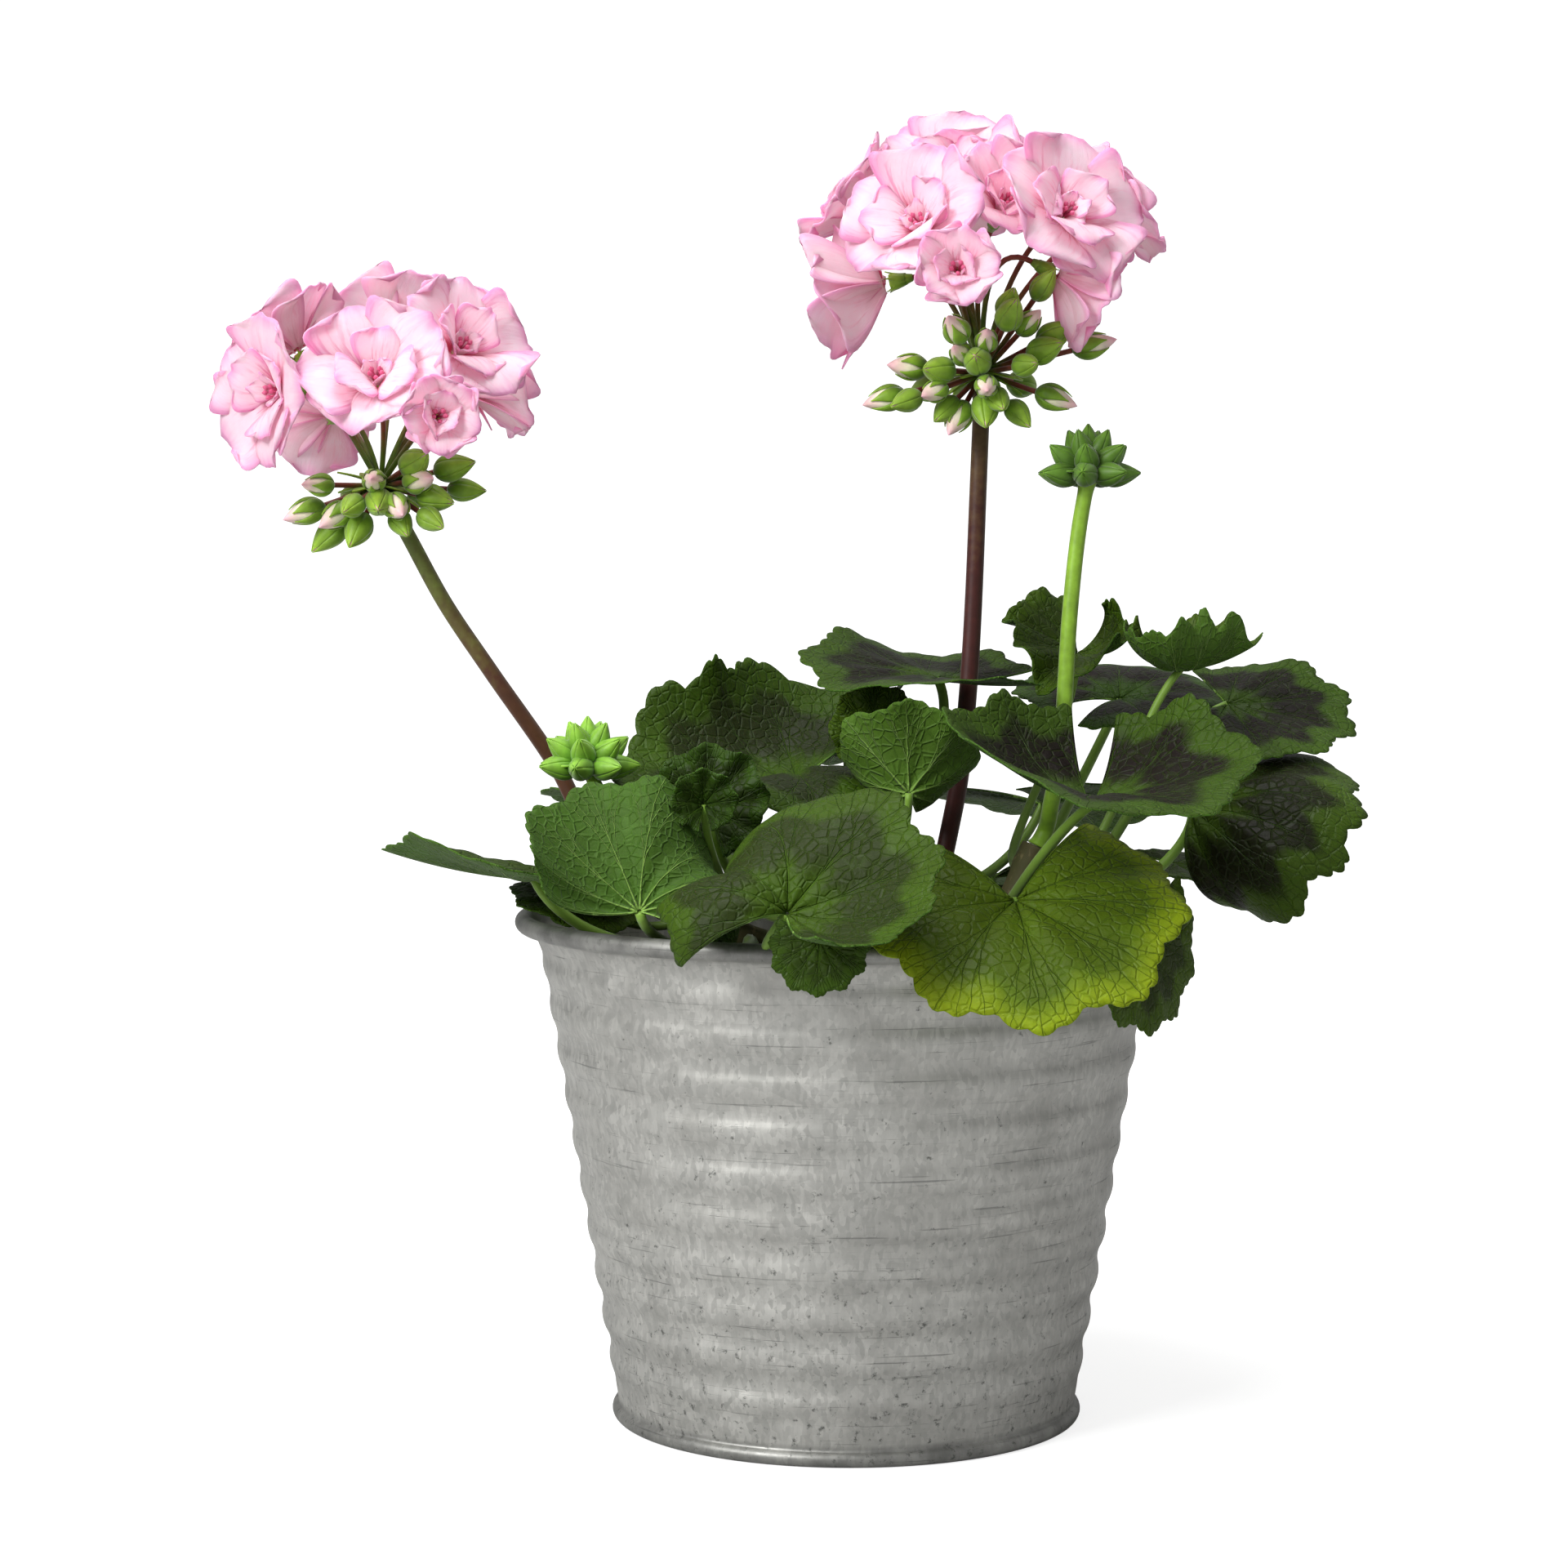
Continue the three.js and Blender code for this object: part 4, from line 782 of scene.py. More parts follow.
# %% The leaves
LEAVES = [
    dict(name="front_right", at=(34, -58, 121), midrib=(8, -60, -44), face=(0, -44, 70), size=38, cup=22,
         rise=(0, 8, 0, -4, 0, 8, 0), spread=0.85, branch="right", part=0.55, zone=0.25, yellow=0.3),
    dict(name="front_centre", at=(-13.5, -74.9, 120), midrib=(51, 71, 48), face=(40, -68, 62), size=35,
         cup=31, rise=(46, 46, 39, 24, -18, -57, -27), back=0.2, spread=0.93, branch="left", part=0.2,
         trim=0.98, zone=0.6, yellow=0.08),
    dict(name="front_left", at=(-43.9, -59.1, 118.9), midrib=(11, 49, 86), face=(24, 82, -52), size=33,
         cup=-15, rise=(-53, -28, -3, 6, 44, 45, 47), spread=0.66, branch="left", part=0.5,
         arrive=(-10, -60, 60), zone=0.35, yellow=0.05),
    dict(name="far_left", at=(-68, -27, 123), midrib=(-98, 8, 18), face=(10, 10, 90), size=33, cup=-6,
         rise=(5, 5, 5, 0, 8, 2, 5), back=0.4, branch="left", part=0.68, zone=0.5, yellow=0.1),
    dict(name="left_low", at=(-57, -6, 117), midrib=(-90, 10, 10), face=(10, -20, 90), size=18, cup=0,
         rise=(0, 0, 0, 0, 0, -5, -10), branch="left", part=0.75, zone=0.3, yellow=0.1),
    dict(name="mid_right", at=(51, -42, 140), midrib=(-10, -98, 0), face=(0, -2, 90), size=40, cup=18,
         rise=(45, 33, 22, 3, 2, 18, 42), back=0.36, branch="right", part=0.7, arrive=(55, -65, 50),
         zone=0.95, yellow=0.05),
    dict(name="far_right", at=(75.7, -14.4, 136.6), midrib=(78, -45, 44), face=(-60, -32, 73), size=40,
         cup=5, rise=(-70, -38, -35, -32, -31, -25, -18), back=0.3, spread=0.68, branch="right", part=0.75,
         zone=0.85, yellow=0.1),
    dict(name="right_mid", at=(86, 10, 159), midrib=(85, -20, -18), face=(10, -35, 90), size=29, cup=6,
         rise=(0, 0, 0, 0, 5, 10, 0), back=0.4, spread=0.75, branch="right", part=0.85, arrive=(80, 0, 30),
         zone=0.95, yellow=0.05),
    dict(name="right_top", at=(74, -4, 167.6), midrib=(36, -91, -22), face=(-3, -24, 97), size=20, cup=1,
         rise=(40, 41, 46, 59, 46, 17, 30), ruffle=(2, 10), spread=0.89, branch="right", part=0.95,
         arrive=(55, 0, 60), zone=0.3, yellow=0.15),
    dict(name="top_right", at=(52.7, 17.8, 170.4), midrib=(-38, -83, -41), face=(23, -52, 82), size=20,
         cup=21, rise=(22, 15, 18, 0, 43, 51, 77), ruffle=(2, 10), spread=0.9, branch="right", part=0.9,
         arrive=(0, 0, 1), zone=0.4, yellow=0.1),
    dict(name="back_right_dark", at=(64, 34, 159), midrib=(40, 40, 10), face=(0, -30, 90), size=28, cup=20,
         rise=(0, 0, 0, 0, 0, 0, 0), branch="right", part=0.8, zone=0.95, yellow=0),
    dict(name="top_left", at=(20.2, -3, 165.3), midrib=(-99, 1, 16), face=(-2, -4, 100), size=31, cup=4,
         rise=(13, 5, 13, 0, -8, 0, 8), spread=0.94, branch="centre", part=0.95, zone=0.9, yellow=0.05),
    dict(name="centre_light", at=(12.9, -28.4, 141.6), midrib=(-4, -22, 98), face=(0, 95, 32), size=21,
         cup=15, rise=(80, 48, 18, 0, 10, 40, 70), ruffle=(1.5, 8), branch="centre", part=0.6,
         arrive=(0, 0, 1), zone=0.15, yellow=0.2),
    dict(name="centre_curl", at=(6, -8, 154), midrib=(-10, 0, 90), face=(10, -80, 10), size=11, cup=20,
         rise=(0, 0, 0, 0, 0, 0, 0), ruffle=(1.2, 9), branch="centre", part=0.9, arrive=(0, 0, 1), zone=0,
         yellow=0.12),
    dict(name="left_wide", at=(-11.2, 6.9, 142.4), midrib=(-89, 27, -38), face=(-36, 10, 93), size=42,
         cup=13, rise=(21, 55, 69, 53, 19, 8, -24), spread=0.91, branch="centre", part=0.6,
         arrive=(-55, 0, 85), zone=0.7, yellow=0.05),
    dict(name="young_ruffled", at=(-30, -31, 138.6), midrib=(-5, 0, 90), face=(0, -90, 10), size=14, cup=18,
         rise=(20, 10, 0, 0, 0, 10, 20), ruffle=(2, 10), branch="left", part=0.6, arrive=(0, 40, 90),
         zone=0.5, yellow=0),
    dict(name="tiny", at=(-31, -40, 140), midrib=(-3, 1, 100), face=(1, -82, 57), size=9, cup=40,
         rise=(40, 30, 30, 30, 30, 30, 40), ruffle=(1.2, 9), branch="left", part=0.66, arrive=(0, 0, 1),
         zone=0.3, yellow=0),
    dict(name="right_low", at=(74, 8, 123), midrib=(90, -5, -10), face=(0, -10, 90), size=18, cup=4,
         rise=(0, 0, 0, 0, 0, 0, 0), spread=0.8, branch="right", part=0.5, zone=0.5, yellow=0.1),
    dict(name="hang_right", at=(61, -45, 115.6), midrib=(8, -6, -90), face=(79, -61, 20), size=24, cup=5,
         rise=(0, 0, 0, 0, 0, 0, 0), spread=0.7, branch="right", part=0.6, arrive=(79, -61, -3), zone=0.6,
         yellow=0.15),
    dict(name="hang_front", at=(-6.9, -77.9, 115.3), midrib=(-2, -10, -90), face=(0, -90, 10), size=11.5,
         cup=0, rise=(0, 0, 0, 0, 0, 0, 0), spread=0.7, branch="right", part=0.22, arrive=(0, -90, 0),
         zone=0.3, yellow=0.05),
    dict(name="back_left", at=(-39, 41, 134), midrib=(-50, 60, -5), face=(0, 10, 90), size=33, cup=10,
         rise=(5, 5, 5, -5, 5, 5, 5), branch="back", part=0.6, zone=0.7, yellow=0.1),
    dict(name="back_centre", at=(1, 51, 145), midrib=(-11, 99, 0), face=(0, 11, 99), size=34, cup=10,
         rise=(10, 5, 4, -6, 3, 5, 8), branch="back", part=0.9, zone=0.7, yellow=0.1),
    dict(name="back_right", at=(48, 62, 133), midrib=(45, 75, -10), face=(5, 20, 90), size=35, cup=12,
         rise=(5, 5, 0, -10, 0, 5, 5), branch="back", part=0.75, zone=0.7, yellow=0.1),
    dict(name="back_low_left", at=(-32, 56, 121), midrib=(-45, 70, -10), face=(-5, 20, 90), size=33, cup=15,
         rise=(5, 0, 0, -10, 0, 0, 5), back=0.4, spread=0.8, branch="back", part=0.4, zone=0.7, yellow=0.1),
    dict(name="back_low_right", at=(36, 58, 115.5), midrib=(40, 70, -14), face=(5, 25, 90), size=31, cup=16,
         rise=(5, 0, 0, -10, 0, 0, 5), back=0.4, spread=0.8, branch="back", part=0.55, zone=0.7,
         yellow=0.1),
]

for number, leaf in enumerate(LEAVES):
    make_piece("leaf_blade_" + leaf["name"], leaf_shapes(leaf, number + 1),
               [leaf_upper, leaf_under, stalk_skin], "leaf_" + leaf["name"])

# %% [markdown]
# ## Flowers
# The blooms are semi-double: five broad overlapping petals and a few small ruffled ones that were
# stamens once. Each floret sits in a green calyx on its own red-brown stalk, and all the stalks of
# a head leave one knot, so the florets make a ball. A petal is again one function of two numbers:
# the share of its length and the share of its width.

# %% The form of a petal
THROAT_RADIUS = 0.8
PETAL_CURL = 30
PETAL_LAP = 0.13
PETAL_CUP = 0.32
PETAL_SKIN = 0.16
CALYX_HEIGHT = 5.5
THROAT_GAP = 1.2
ANTHER = [(0.02, 0), (0.5, 0.5), (0.55, 1.0), (0.02, 1.6)]
PETAL_STEPS = 15


def floret_axes(hub, floret):
    face = unit(floret["face"])
    across = unit(np.cross((0, 0, 1), face))
    return face, across, np.cross(face, across), np.add(hub, floret["at"])


def petal(axes, size, open_angle, angle, rng, width, lap=PETAL_LAP, steps=PETAL_STEPS, sunk=0.0):
    face, across, aside, throat = axes
    share = np.linspace(0.03, 1, steps)[:, None]
    side = np.linspace(-1, 1, steps)[None, :]
    outline = width * (0.16 + 0.84 * np.sin(0.5 * math.pi * np.clip(share / 0.72, 0, 1)) ** 1.1)
    outline = outline * np.sqrt(np.clip(1 - (np.clip(share - 0.62, 0, 1) / 0.42) ** 2.4, 0.05, 1))
    notch = 0.03 * np.exp(-((side - rng.uniform(-0.15, 0.15)) / 0.16) ** 2) * share ** 6
    wavy = 0.02 * np.sin(5 * side + rng.uniform(0, 6)) * share ** 3
    length = share * (1 - 0.26 * side ** 2 * share ** 2 - notch + wavy)
    start = math.radians(min(open_angle + PETAL_CURL, 88))
    bend = 2 * (math.radians(open_angle) - start)
    flat = size * (np.sin(start + bend * length) - math.sin(start)) / bend
    up = size * (math.cos(start) - np.cos(start + bend * length)) / bend
    wide = outline * side
    ruffle = 0.045 * share ** 2 * np.abs(side) ** 1.5 * np.sin(
        rng.uniform(4, 7) * side + rng.uniform(3, 6) * share + rng.uniform(0, 6))
    ruffle = ruffle + 0.03 * share ** 3 * np.sin(rng.uniform(5, 8) * side + rng.uniform(0, 6))
    lift = size * (share * (lap * wide + PETAL_CUP * wide ** 2) + ruffle) - sunk
    radial = across * math.cos(angle) + aside * math.sin(angle)
    sideways = np.cross(face, radial)
    twist = rng.uniform(-0.12, 0.12)
    grid = (throat + (flat + THROAT_RADIUS)[..., None] * radial
            + (up + lift + twist * size * wide)[..., None] * face + (size * wide)[..., None] * sideways)
    ones = np.ones_like(length + side)
    blade = np.stack([side * ones, share * ones, size * ones], -1)
    tint = np.broadcast_to([rng.uniform(0, 1), rng.uniform(0, 1), rng.uniform(0, 50)], blade.shape)
    return sheet(grid, PETAL_SKIN, PETAL_SKIN, marks={"blade": blade, "tint": tint})


def floret_shapes(hub, floret, rng):
    axes = floret_axes(hub, floret)
    turn = math.radians(floret["turn"])
    size, open_angle = floret["size"], floret["open"]
    shapes = []
    for i in range(5):
        angle = turn + 2 * math.pi * i / 5 + rng.uniform(-0.08, 0.08)
        shapes.append(petal(axes, size * rng.uniform(0.93, 0.99), open_angle + rng.uniform(-7, 5), angle, rng,
                            rng.uniform(0.64, 0.72), sunk=0.3))
    for i in range(3):
        angle = turn + 0.7 + 2 * math.pi * i / 3 + rng.uniform(-0.3, 0.3)
        shapes.append(petal(axes, size * rng.uniform(0.6, 0.74), min(open_angle + rng.uniform(10, 28), 70), angle,
                            rng, rng.uniform(0.48, 0.6), lap=rng.uniform(-0.2, 0.25), sunk=-0.1))
    for i in range(4):
        angle = turn + 2 * math.pi * i / 4 + rng.uniform(-0.4, 0.4)
        shapes.append(petal(axes, size * rng.uniform(0.24, 0.4), min(open_angle + rng.uniform(30, 52), 80),
                            angle, rng, rng.uniform(0.3, 0.46), lap=rng.uniform(-0.4, 0.4), steps=11, sunk=-0.4))
    face, across, aside, throat = axes
    for i in range(5):
        way = unit(face + (across * math.cos(i * 2.4) + aside * math.sin(i * 2.4)) * 0.35)
        foot = throat - face * 0.2
        shapes.append(tube(bezier([foot, foot + way * 2, foot + way * 3.2 + face], np.linspace(0, 1, 6)),
                           0.22, 5, finish=2))
        shapes.append(turned(ANTHER, foot + way * 3.0 + face * 0.9, way, 7, finish=2))
    return shapes


# %% [markdown]
# **Petals.** A petal is a few cell layers with air between them: satin, pale, and bright when light
# comes through. The dye sits in the skin. This kind is pale pink with a deeper pink margin, and rose
# red veins that run out of the throat and fade. Its back is paler than its face. So much light goes
# through a petal and out again that its shaded side never turns grey: a faint glow stands for that.

# %% Petal materials
PETAL_GLOW = 0.11


def petal_side(name, upper):
    material, tree, shader = new_material(name)
    mark = add(tree, "SeparateXYZ", {0: add(tree, "Attribute", attribute_name="blade").outputs["Vector"]})
    tint = add(tree, "SeparateXYZ", {0: add(tree, "Attribute", attribute_name="tint").outputs["Vector"]})
    side, share = mark.outputs[0], mark.outputs[1]
    fan = add(tree, "CombineXYZ", {0: calc(tree, "MULTIPLY", side, 5.5),
                                   1: calc(tree, "MULTIPLY", share, 1.2),
                                   2: tint.outputs[2]}).outputs[0]
    streaks = noise(tree, fan, 1.6, 4.0, 0.6)
    place = add(tree, "TexCoord").outputs["Object"]
    clouds = noise(tree, place, 1 / (4 * MM), 3.0)
    base = ("#fad3e0", "#f5b4cb") if upper else ("#fad7e2", "#f4bbcf")
    pale = mixed(tree, clouds, base[0], base[1])
    outward = calc(tree, "ABSOLUTE", side)
    outward = calc(tree, "POWER", outward, 2.5)
    far = calc(tree, "POWER", share, 4.0)
    edge = calc(tree, "MAXIMUM", far, outward)
    edge = calc(tree, "MULTIPLY_ADD", streaks, 0.5, edge)
    margin = ramp(tree, edge, 0.5, 1.3, smooth=True)
    margin = calc(tree, "MULTIPLY", margin, 0.75 if upper else 0.6)
    rimmed = mixed(tree, margin, pale, "#e271ad")
    inward = calc(tree, "MULTIPLY_ADD", streaks, 0.55, share)
    heart = ramp(tree, inward, 0.68, 0.38, smooth=True)
    heart = calc(tree, "MULTIPLY", heart, 0.95 if upper else 0.35)
    hearted = mixed(tree, heart, rimmed, "#b81845")
    lines = ramp(tree, streaks, 0.54, 0.64)
    fade = ramp(tree, share, 0.85, 0.2)
    lines = calc(tree, "MULTIPLY", lines, fade)
    lines = calc(tree, "MULTIPLY", lines, 0.7 if upper else 0.3)
    lined = mixed(tree, lines, hearted, "#cc4478")
    tree.links.new(lined, shader.inputs["Base Color"])
    tree.links.new(lined, shader.inputs["Emission Color"])
    settle(shader, {"Emission Strength": PETAL_GLOW, "Roughness": 0.5, "IOR": 1.38,
                    "Subsurface Weight": 0.5, "Subsurface Radius": (1.0, 0.42, 0.55),
                    "Subsurface Scale": 4 * MM, "Sheen Weight": 0.1})
    bumpy(tree, shader, streaks, 0.5, 0.3)
    return material


petal_face = petal_side("petal_face", True)
petal_back = petal_side("petal_back", False)

stamen, tree, shader = new_material("stamen_filament")
settle(shader, {"Base Color": colour("#d9648d"), "Roughness": 0.5})

# %% [markdown]
# **Stalk skins.** The green of a flower stalk turns red-brown where the sun reached it, from
# anthocyanin again. The `along` share of each stalk tells where that is: the right stalk is dark red
# for most of its length, the left one only low down. The young stalks are still a bright yellow
# green, as they grew last.

# %% Stalk materials
def stalk_material(name, low, high, change, spread=0.25):
    material, tree, shader = new_material(name)
    place = add(tree, "TexCoord").outputs["Object"]
    mark = add(tree, "SeparateXYZ", {0: add(tree, "Attribute", attribute_name="blade").outputs["Vector"]})
    mottle = noise(tree, place, 1 / (2.5 * MM), 4.0)
    where = calc(tree, "MULTIPLY_ADD", mottle, 0.3, mark.outputs[1])
    part = ramp(tree, where, change + 0.15 - spread, change + 0.15 + spread)
    skin = mixed(tree, part, low, high)
    shade = ramp(tree, mottle, 0.3, 0.7, 0.8, 1.15)
    toned = add(tree, "VectorMath", {0: skin, "Scale": shade}, operation="SCALE").outputs[0]
    tree.links.new(toned, shader.inputs["Base Color"])
    settle(shader, {"Roughness": 0.48, "IOR": 1.42, "Subsurface Weight": 0.1,
                    "Subsurface Radius": (0.8, 0.8, 0.3), "Subsurface Scale": 1 * MM, "Sheen Weight": 0.35,
                    "Sheen Roughness": 0.4})
    bumpy(tree, shader, mottle, 0.3, 0.2)
    return material


red_stalk = stalk_material("sun_reddened_stalk", "#491e19", "#66562e", 0.9, 0.16)
half_red_stalk = stalk_material("half_reddened_stalk", "#5a3622", "#6f9638", 0.86, 0.32)
young_stalk = stalk_material("young_green_stalk", "#7aa32a", "#93bf38", 0.5)
flower_stalk = stalk_material("floret_stalk", "#5c7a26", "#7c3a28", 0.42, 0.2)
calyx_green = stalk_material("calyx_and_bud", "#527d14", "#9cc43a", 0.5, 0.5)
bud_pink = stalk_material("bud_petal_tip", "#fbf4d6", "#f7bccb", 0.8, 0.2)
young_bud = stalk_material("young_bud", "#34530f", "#6b9a2a", 0.62, 0.4)
youngest_bud = stalk_material("youngest_bud", "#5c9220", "#93c93e", 0.6, 0.4)

# %% [markdown]
# A bud is a pointed egg of five green sepals pressed together, with a slit of pink between them when
# it is nearly ready. The grooves between the sepals are a five-fold flute on the turned body.

# %% Buds, calyces and the green parts of a head
BUD_LENGTH = 10.5
BUD_GIRTH = 0.3
SMALL_BUD = 0.85
CALYX_CUP = [(0.02, 0), (0.8, 0.3), (1.25, 2), (1.8, 4), (1.9, CALYX_HEIGHT - 0.2), (0.02, CALYX_HEIGHT)]
HEAD_KNOT = [(0.02, -3), (2.2, -2), (3.1, 0), (2.4, 2), (0.02, 3)]
YOUNG_KNOT = [(0.02, -2.5), (2.6, -1), (3.8, 1.4), (3.0, 3.4), (0.02, 4.9)]
PEDICEL_RADIUS = 0.62


def bud_girth(share, size):
    return BUD_GIRTH * size * np.sin(math.pi * np.clip(share, 0, 1) ** 0.8) ** 0.8 * (1 - 0.25 * share)


def strip_marks(across, along):
    """The marks of a narrow sheet: its share across and along."""
    one = np.ones_like(across * along)
    return {"blade": np.stack([across * one, along * one, one], -1)}


def bud(base, direction, size, ready, rng, greens=(2, 3)):
    """A cone of folded petals under five sepals, which part near the tip of a ready bud."""
    direction = unit(direction)
    share = np.linspace(0, 1, 13)
    profile = np.stack([np.maximum(0.93 * bud_girth(share, size), 0.02), share * size * 0.98], -1)
    shapes = [turned(profile, base, direction, 15, finish=greens[1], flute=0.04)]
    first = unit(np.cross(direction, (0.3, 0.9, 0.2)))
    second = np.cross(direction, first)
    along = np.linspace(0.01, 1, 15)[:, None]
    across = np.linspace(-1, 1, 7)[None, :]
    parting = rng.uniform(0.2, 0.36) if ready else 0.75
    narrowing = (np.clip(along - parting, 0, 1) / (1 - parting)) ** (1.5 if ready else 2.4)
    cover = 1.06 * np.clip(1 - narrowing, 0.04, 1)
    along = along * (rng.uniform(0.7, 0.82) if ready else 1)
    turn = rng.uniform(0, 2 * math.pi)
    for i in range(5):
        angle = turn + 2 * math.pi * i / 5 + across * cover * math.pi / 5
        keel = 1 + 0.08 * (1 - across ** 2)
        ring = np.maximum(bud_girth(along, size) * keel, 0.12) + 0.03 * (i % 2)
        grid = (np.asarray(base, float) + (ring * np.cos(angle))[..., None] * first
                + (ring * np.sin(angle))[..., None] * second
                + (size * along * np.ones_like(across))[..., None] * direction)
        shapes.append(sheet(grid, 0.09, 0.09, side=(greens[0], greens[0]), marks=strip_marks(across, along)))
    return shapes


def thin_stalk(start, end, direction, radius, finish):
    half = np.linalg.norm(np.subtract(end, start)) / 2
    line = bezier([start, np.subtract(end, unit(direction) * half), end], np.linspace(0, 1, 14))
    return tube(line, radius, 8, finish=finish)


def sepal(foot, way, out, length, width, finish):
    side = np.cross(way, out)
    share = np.linspace(0.02, 1, 9)[:, None]
    across = np.linspace(-1, 1, 5)[None, :]
    half = width * np.sin(math.pi * np.clip(share * 0.92 + 0.08, 0, 1) ** 0.7) + 0.03
    spread = 0.25 + 0.9 * share ** 1.6
    grid = (np.asarray(foot) + (length * share * (1 - 0.12 * across ** 2))[..., None] * way
            + (spread * length * 0.32 * np.ones_like(across))[..., None] * out
            + (half * across)[..., None] * side
            - (0.25 * width * across ** 2 * np.ones_like(share))[..., None] * out)
    return sheet(grid, 0.16, 0.16, side=(finish, finish), marks=strip_marks(across, share))


def stalk_line(head, places):
    root, out = spring(head["branch"], head["part"], head["route"][0])
    points = [root, root + out * 4, *head["route"], head["hub"]]
    return smooth_line(points, places)


def main_stalk(head):
    share = np.linspace(0, 1, 90)
    radius = head["thickness"] * 0.95 * (1.08 - 0.14 * share + 0.35 * np.exp(-((share - 1) / 0.03) ** 2)
                                         + 0.25 * np.exp(-(share / 0.03) ** 2))
    return tube(stalk_line(head, share), radius, 14, finish=0, flute=0.025)


def bract_ring(head, first, drop, finish):
    shapes = []
    for i in range(5):
        angle = first + 2 * math.pi * i / 5
        out = unit((math.cos(angle), math.sin(angle), drop))
        side = np.array([-math.sin(angle), math.cos(angle), 0])
        share = np.linspace(0.1, 1, 9)[:, None]
        across = np.linspace(-1, 1, 5)[None, :]
        half = 2 * np.sin(math.pi * (0.12 + 0.86 * share)) ** 0.8 + 0.05
        curl = 0.9 * np.sin(math.pi * share) * (1 + 0.3 * across ** 2)
        grid = (np.asarray(head["hub"], float) + (10 * share * np.ones_like(across))[..., None] * out
                + (half * across)[..., None] * side + (curl * 0.35)[..., None] * np.cross(out, side))
        shapes.append(sheet(grid, 0.2, 0.2, side=(finish, finish), marks=strip_marks(across, share)))
    return shapes


def green_head(head):
    rng = np.random.default_rng(head["seed"] + 100)
    hub = np.asarray(head["hub"], float)
    shapes = [main_stalk(head), turned(HEAD_KNOT, hub, (0, 0, 1), 16, finish=2)]
    for floret in head["florets"]:
        face, across, aside, throat = floret_axes(hub, floret)
        foot = throat - face * (CALYX_HEIGHT + THROAT_GAP)
        shapes.append(turned(CALYX_CUP, foot, face, 15, finish=2, flute=0.06))
        shapes.append(thin_stalk(hub, foot + face * 0.8, face, PEDICEL_RADIUS, 1))
        for i in range(5):
            angle = 2 * math.pi * i / 5 + 0.3
            out = across * math.cos(angle) + aside * math.sin(angle)
            shapes.append(sepal(foot + face * 1.6 + out * 0.8, face, out, 4.6, 0.9, 2))
    for number, place in enumerate(head["buds"] + head["small_buds"]):
        direction = unit(place)
        base = hub + place - direction * BUD_LENGTH / 2
        length = BUD_LENGTH * (1 if number < len(head["buds"]) else SMALL_BUD)
        shapes += bud(base, direction, length, number % 5 < 2, rng)
        shapes.append(thin_stalk(hub, base + direction * 0.6, direction, PEDICEL_RADIUS, 1))
    for first, drop in ((1.1, -0.55), (0.4, -0.15), (0.9, 0.3)):
        shapes += bract_ring(head, first, drop, 2)
    return shapes


def young_head(head):
    rng = np.random.default_rng(7)
    hub = np.asarray(head["hub"], float)
    shapes = [main_stalk(head), turned(YOUNG_KNOT, hub, (0, 0, 1), 18, finish=1)]
    for count, slope, length in YOUNG_RINGS:
        for i in range(count):
            angle = 2 * math.pi * (i + slope / 100) / count
            tilt = math.radians(slope)
            flat = math.cos(tilt)
            direction = np.array([math.cos(angle) * flat, math.sin(angle) * flat, math.sin(tilt)])
            shapes += bud(hub + direction * 2.2, direction, length, False, rng, greens=(1, 1))
    shapes += bract_ring(head, 0.4, 0.1, 1)
    return shapes


# %% [markdown]
# The two open heads and the two young ones. A floret's numbers are its throat measured from the
# knot of the head, the way it looks, its petal length, how far it is open and how it is turned.

# %% The heads
PEDUNCLE_RADIUS = 2.1


def florets_from(rows):
    return [dict(at=r[0], face=r[1], size=r[2], open=r[3], turn=r[4]) for r in rows]


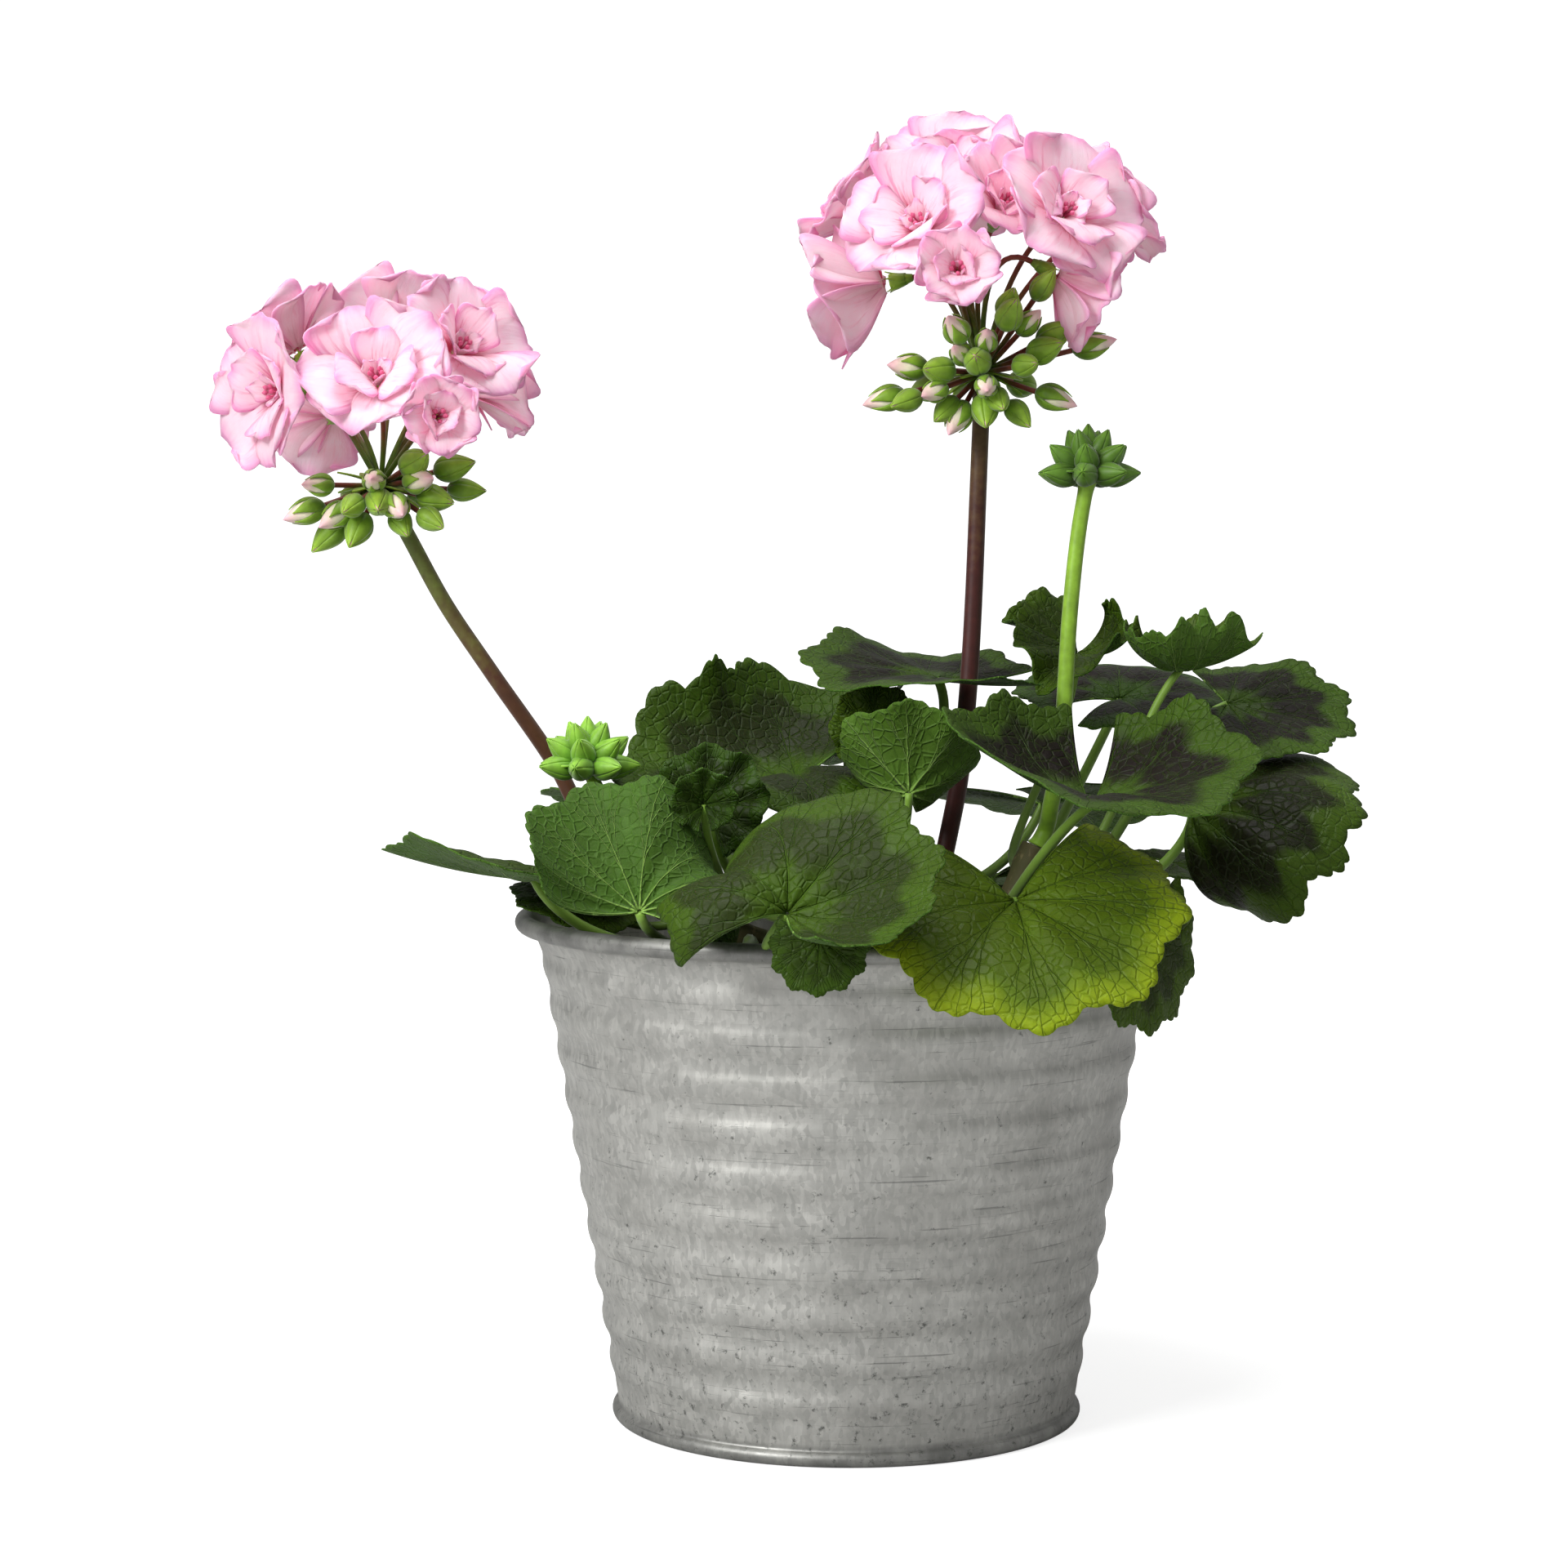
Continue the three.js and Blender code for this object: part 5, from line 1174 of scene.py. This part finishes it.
HEADS = [
    dict(name="right", hub=(30, 0, 233), seed=3, branch="right", part=0.42, thickness=PEDUNCLE_RADIUS,
         route=[(25, -4, 144), (27, -3, 165), (28, -2, 182), (29, -1, 207)],
         florets=florets_from([
             ((-6, 6, 41), (-8, -60, 70), 21, 25, 0), ((-14, -18, 30), (-35, -75, 45), 19.5, 24, 12),
             ((-7, -29, 20), (-5, -95, 15), 13, 48, 0), ((16, -13, 33), (45, -75, 40), 20.5, 20, 0),
             ((-22, -9, 19), (-95, 25, -20), 21, 42, 0), ((15.5, -12, 20.5), (75, 15, -40), 17, 45, 54),
             ((3, -11.5, 34.5), (25, -75, 55), 16, 35, 42), ((-25, 2, 35), (-70, 10, 60), 18, 25, 48),
             ((26, 4, 34), (85, 15, 65), 17.5, 25, 0), ((-4, 14, 38), (0, 70, 70), 20, 20, 0)]),
         buds=[(-17, -8, 1), (-22, -4, -6), (-10.5, -13, 0), (-2, -15, 2), (0, -10, -9), (-6, -8, -10.5),
               (-7, -17, 9), (5, -18, 12), (13, -13, 4.5), (15.5, -10, 8), (24.5, -4, 6), (16, -6, -6),
               (-12, 12, -3), (10, 14, -2)],
         small_buds=[(-18, -14, -7), (-12, -14, -5), (0, -16, -4), (5, -15, 15), (13, -14, 19), (9, -17, 1),
                    (0, -16, 7), (-6, -14, 4), (3, -13, -7), (-9, -9, -9), (8, -9, -10), (10, -13, 11)]),
    dict(name="left", hub=(-103, -5, 208), seed=8, branch="left", part=0.8, thickness=0.9 * PEDUNCLE_RADIUS,
         route=[(-58, -1, 133), (-65, 0, 146), (-79, -4, 167), (-89, -4, 182), (-97, -5, 197)],
         florets=florets_from([
             ((-19, -13.5, 20), (-75, -60, 0), 20, 24, 0), ((2, -22, 21.5), (0, -80, 45), 19.5, 26, 42),
             ((17.5, -8.5, 28.5), (50, -60, 50), 18.5, 22, 0), ((15, -28, 14), (25, -90, 5), 12.5, 48, 48),
             ((-18, 0, 30), (-50, 20, 75), 17, 25, 0), ((3, 10.5, 33), (5, 60, 70), 18, 20, 36),
             ((19, 13, 21), (75, 55, 40), 17, 30, 0), ((-12.5, 15.5, 16), (-40, 85, 10), 17, 30, 0)]),
         buds=[(-16, -8, -6), (-9, -10, -7), (-4, -10, -10), (-11, -4, -11), (1, -13, -4), (5, -13, -5),
               (10, -12, 1), (13, -9, -3), (9, -12, 5), (17, -7, 4), (-8, 12, -3), (9, 11, -2)],
         small_buds=[(-5, -15, -5), (13, -14, -8), (20, -3, -1), (-13, -13, 0), (0, -15, 1), (6, -11, -9)]),
]
YOUNG_RINGS = [(7, 4, 9.5), (6, 36, 9.4), (4, 64, 9.2), (1, 90, 9.4)]
YOUNG_HEADS = [
    dict(name="right", hub=(53, -6, 210), branch="right", part=1, thickness=0.9 * PEDUNCLE_RADIUS,
         route=[(45, -9, 138), (47, -9, 150), (49, -8, 180), (51, -6, 198)]),
    dict(name="left", hub=(-57, -14, 146), branch="left", part=1, thickness=0.8 * PEDUNCLE_RADIUS,
         route=[(-46, -9, 133), (-54, -12, 140)]),
]

for head, skin in zip(HEADS, (red_stalk, half_red_stalk)):
    rng = np.random.default_rng(head["seed"])
    petals = [shape for floret in head["florets"] for shape in floret_shapes(head["hub"], floret, rng)]
    make_piece("pink_florets_" + head["name"], petals, [petal_face, petal_back, stamen],
               "florets_" + head["name"])
    make_piece("flower_stalk_and_buds_" + head["name"], green_head(head),
               [skin, flower_stalk, calyx_green, bud_pink], "flower_stalk_" + head["name"])
for head, skin in zip(YOUNG_HEADS, (young_bud, youngest_bud)):
    make_piece("young_head_" + head["name"], young_head(head), [young_stalk, skin],
               "bud_stalk_" + head["name"])
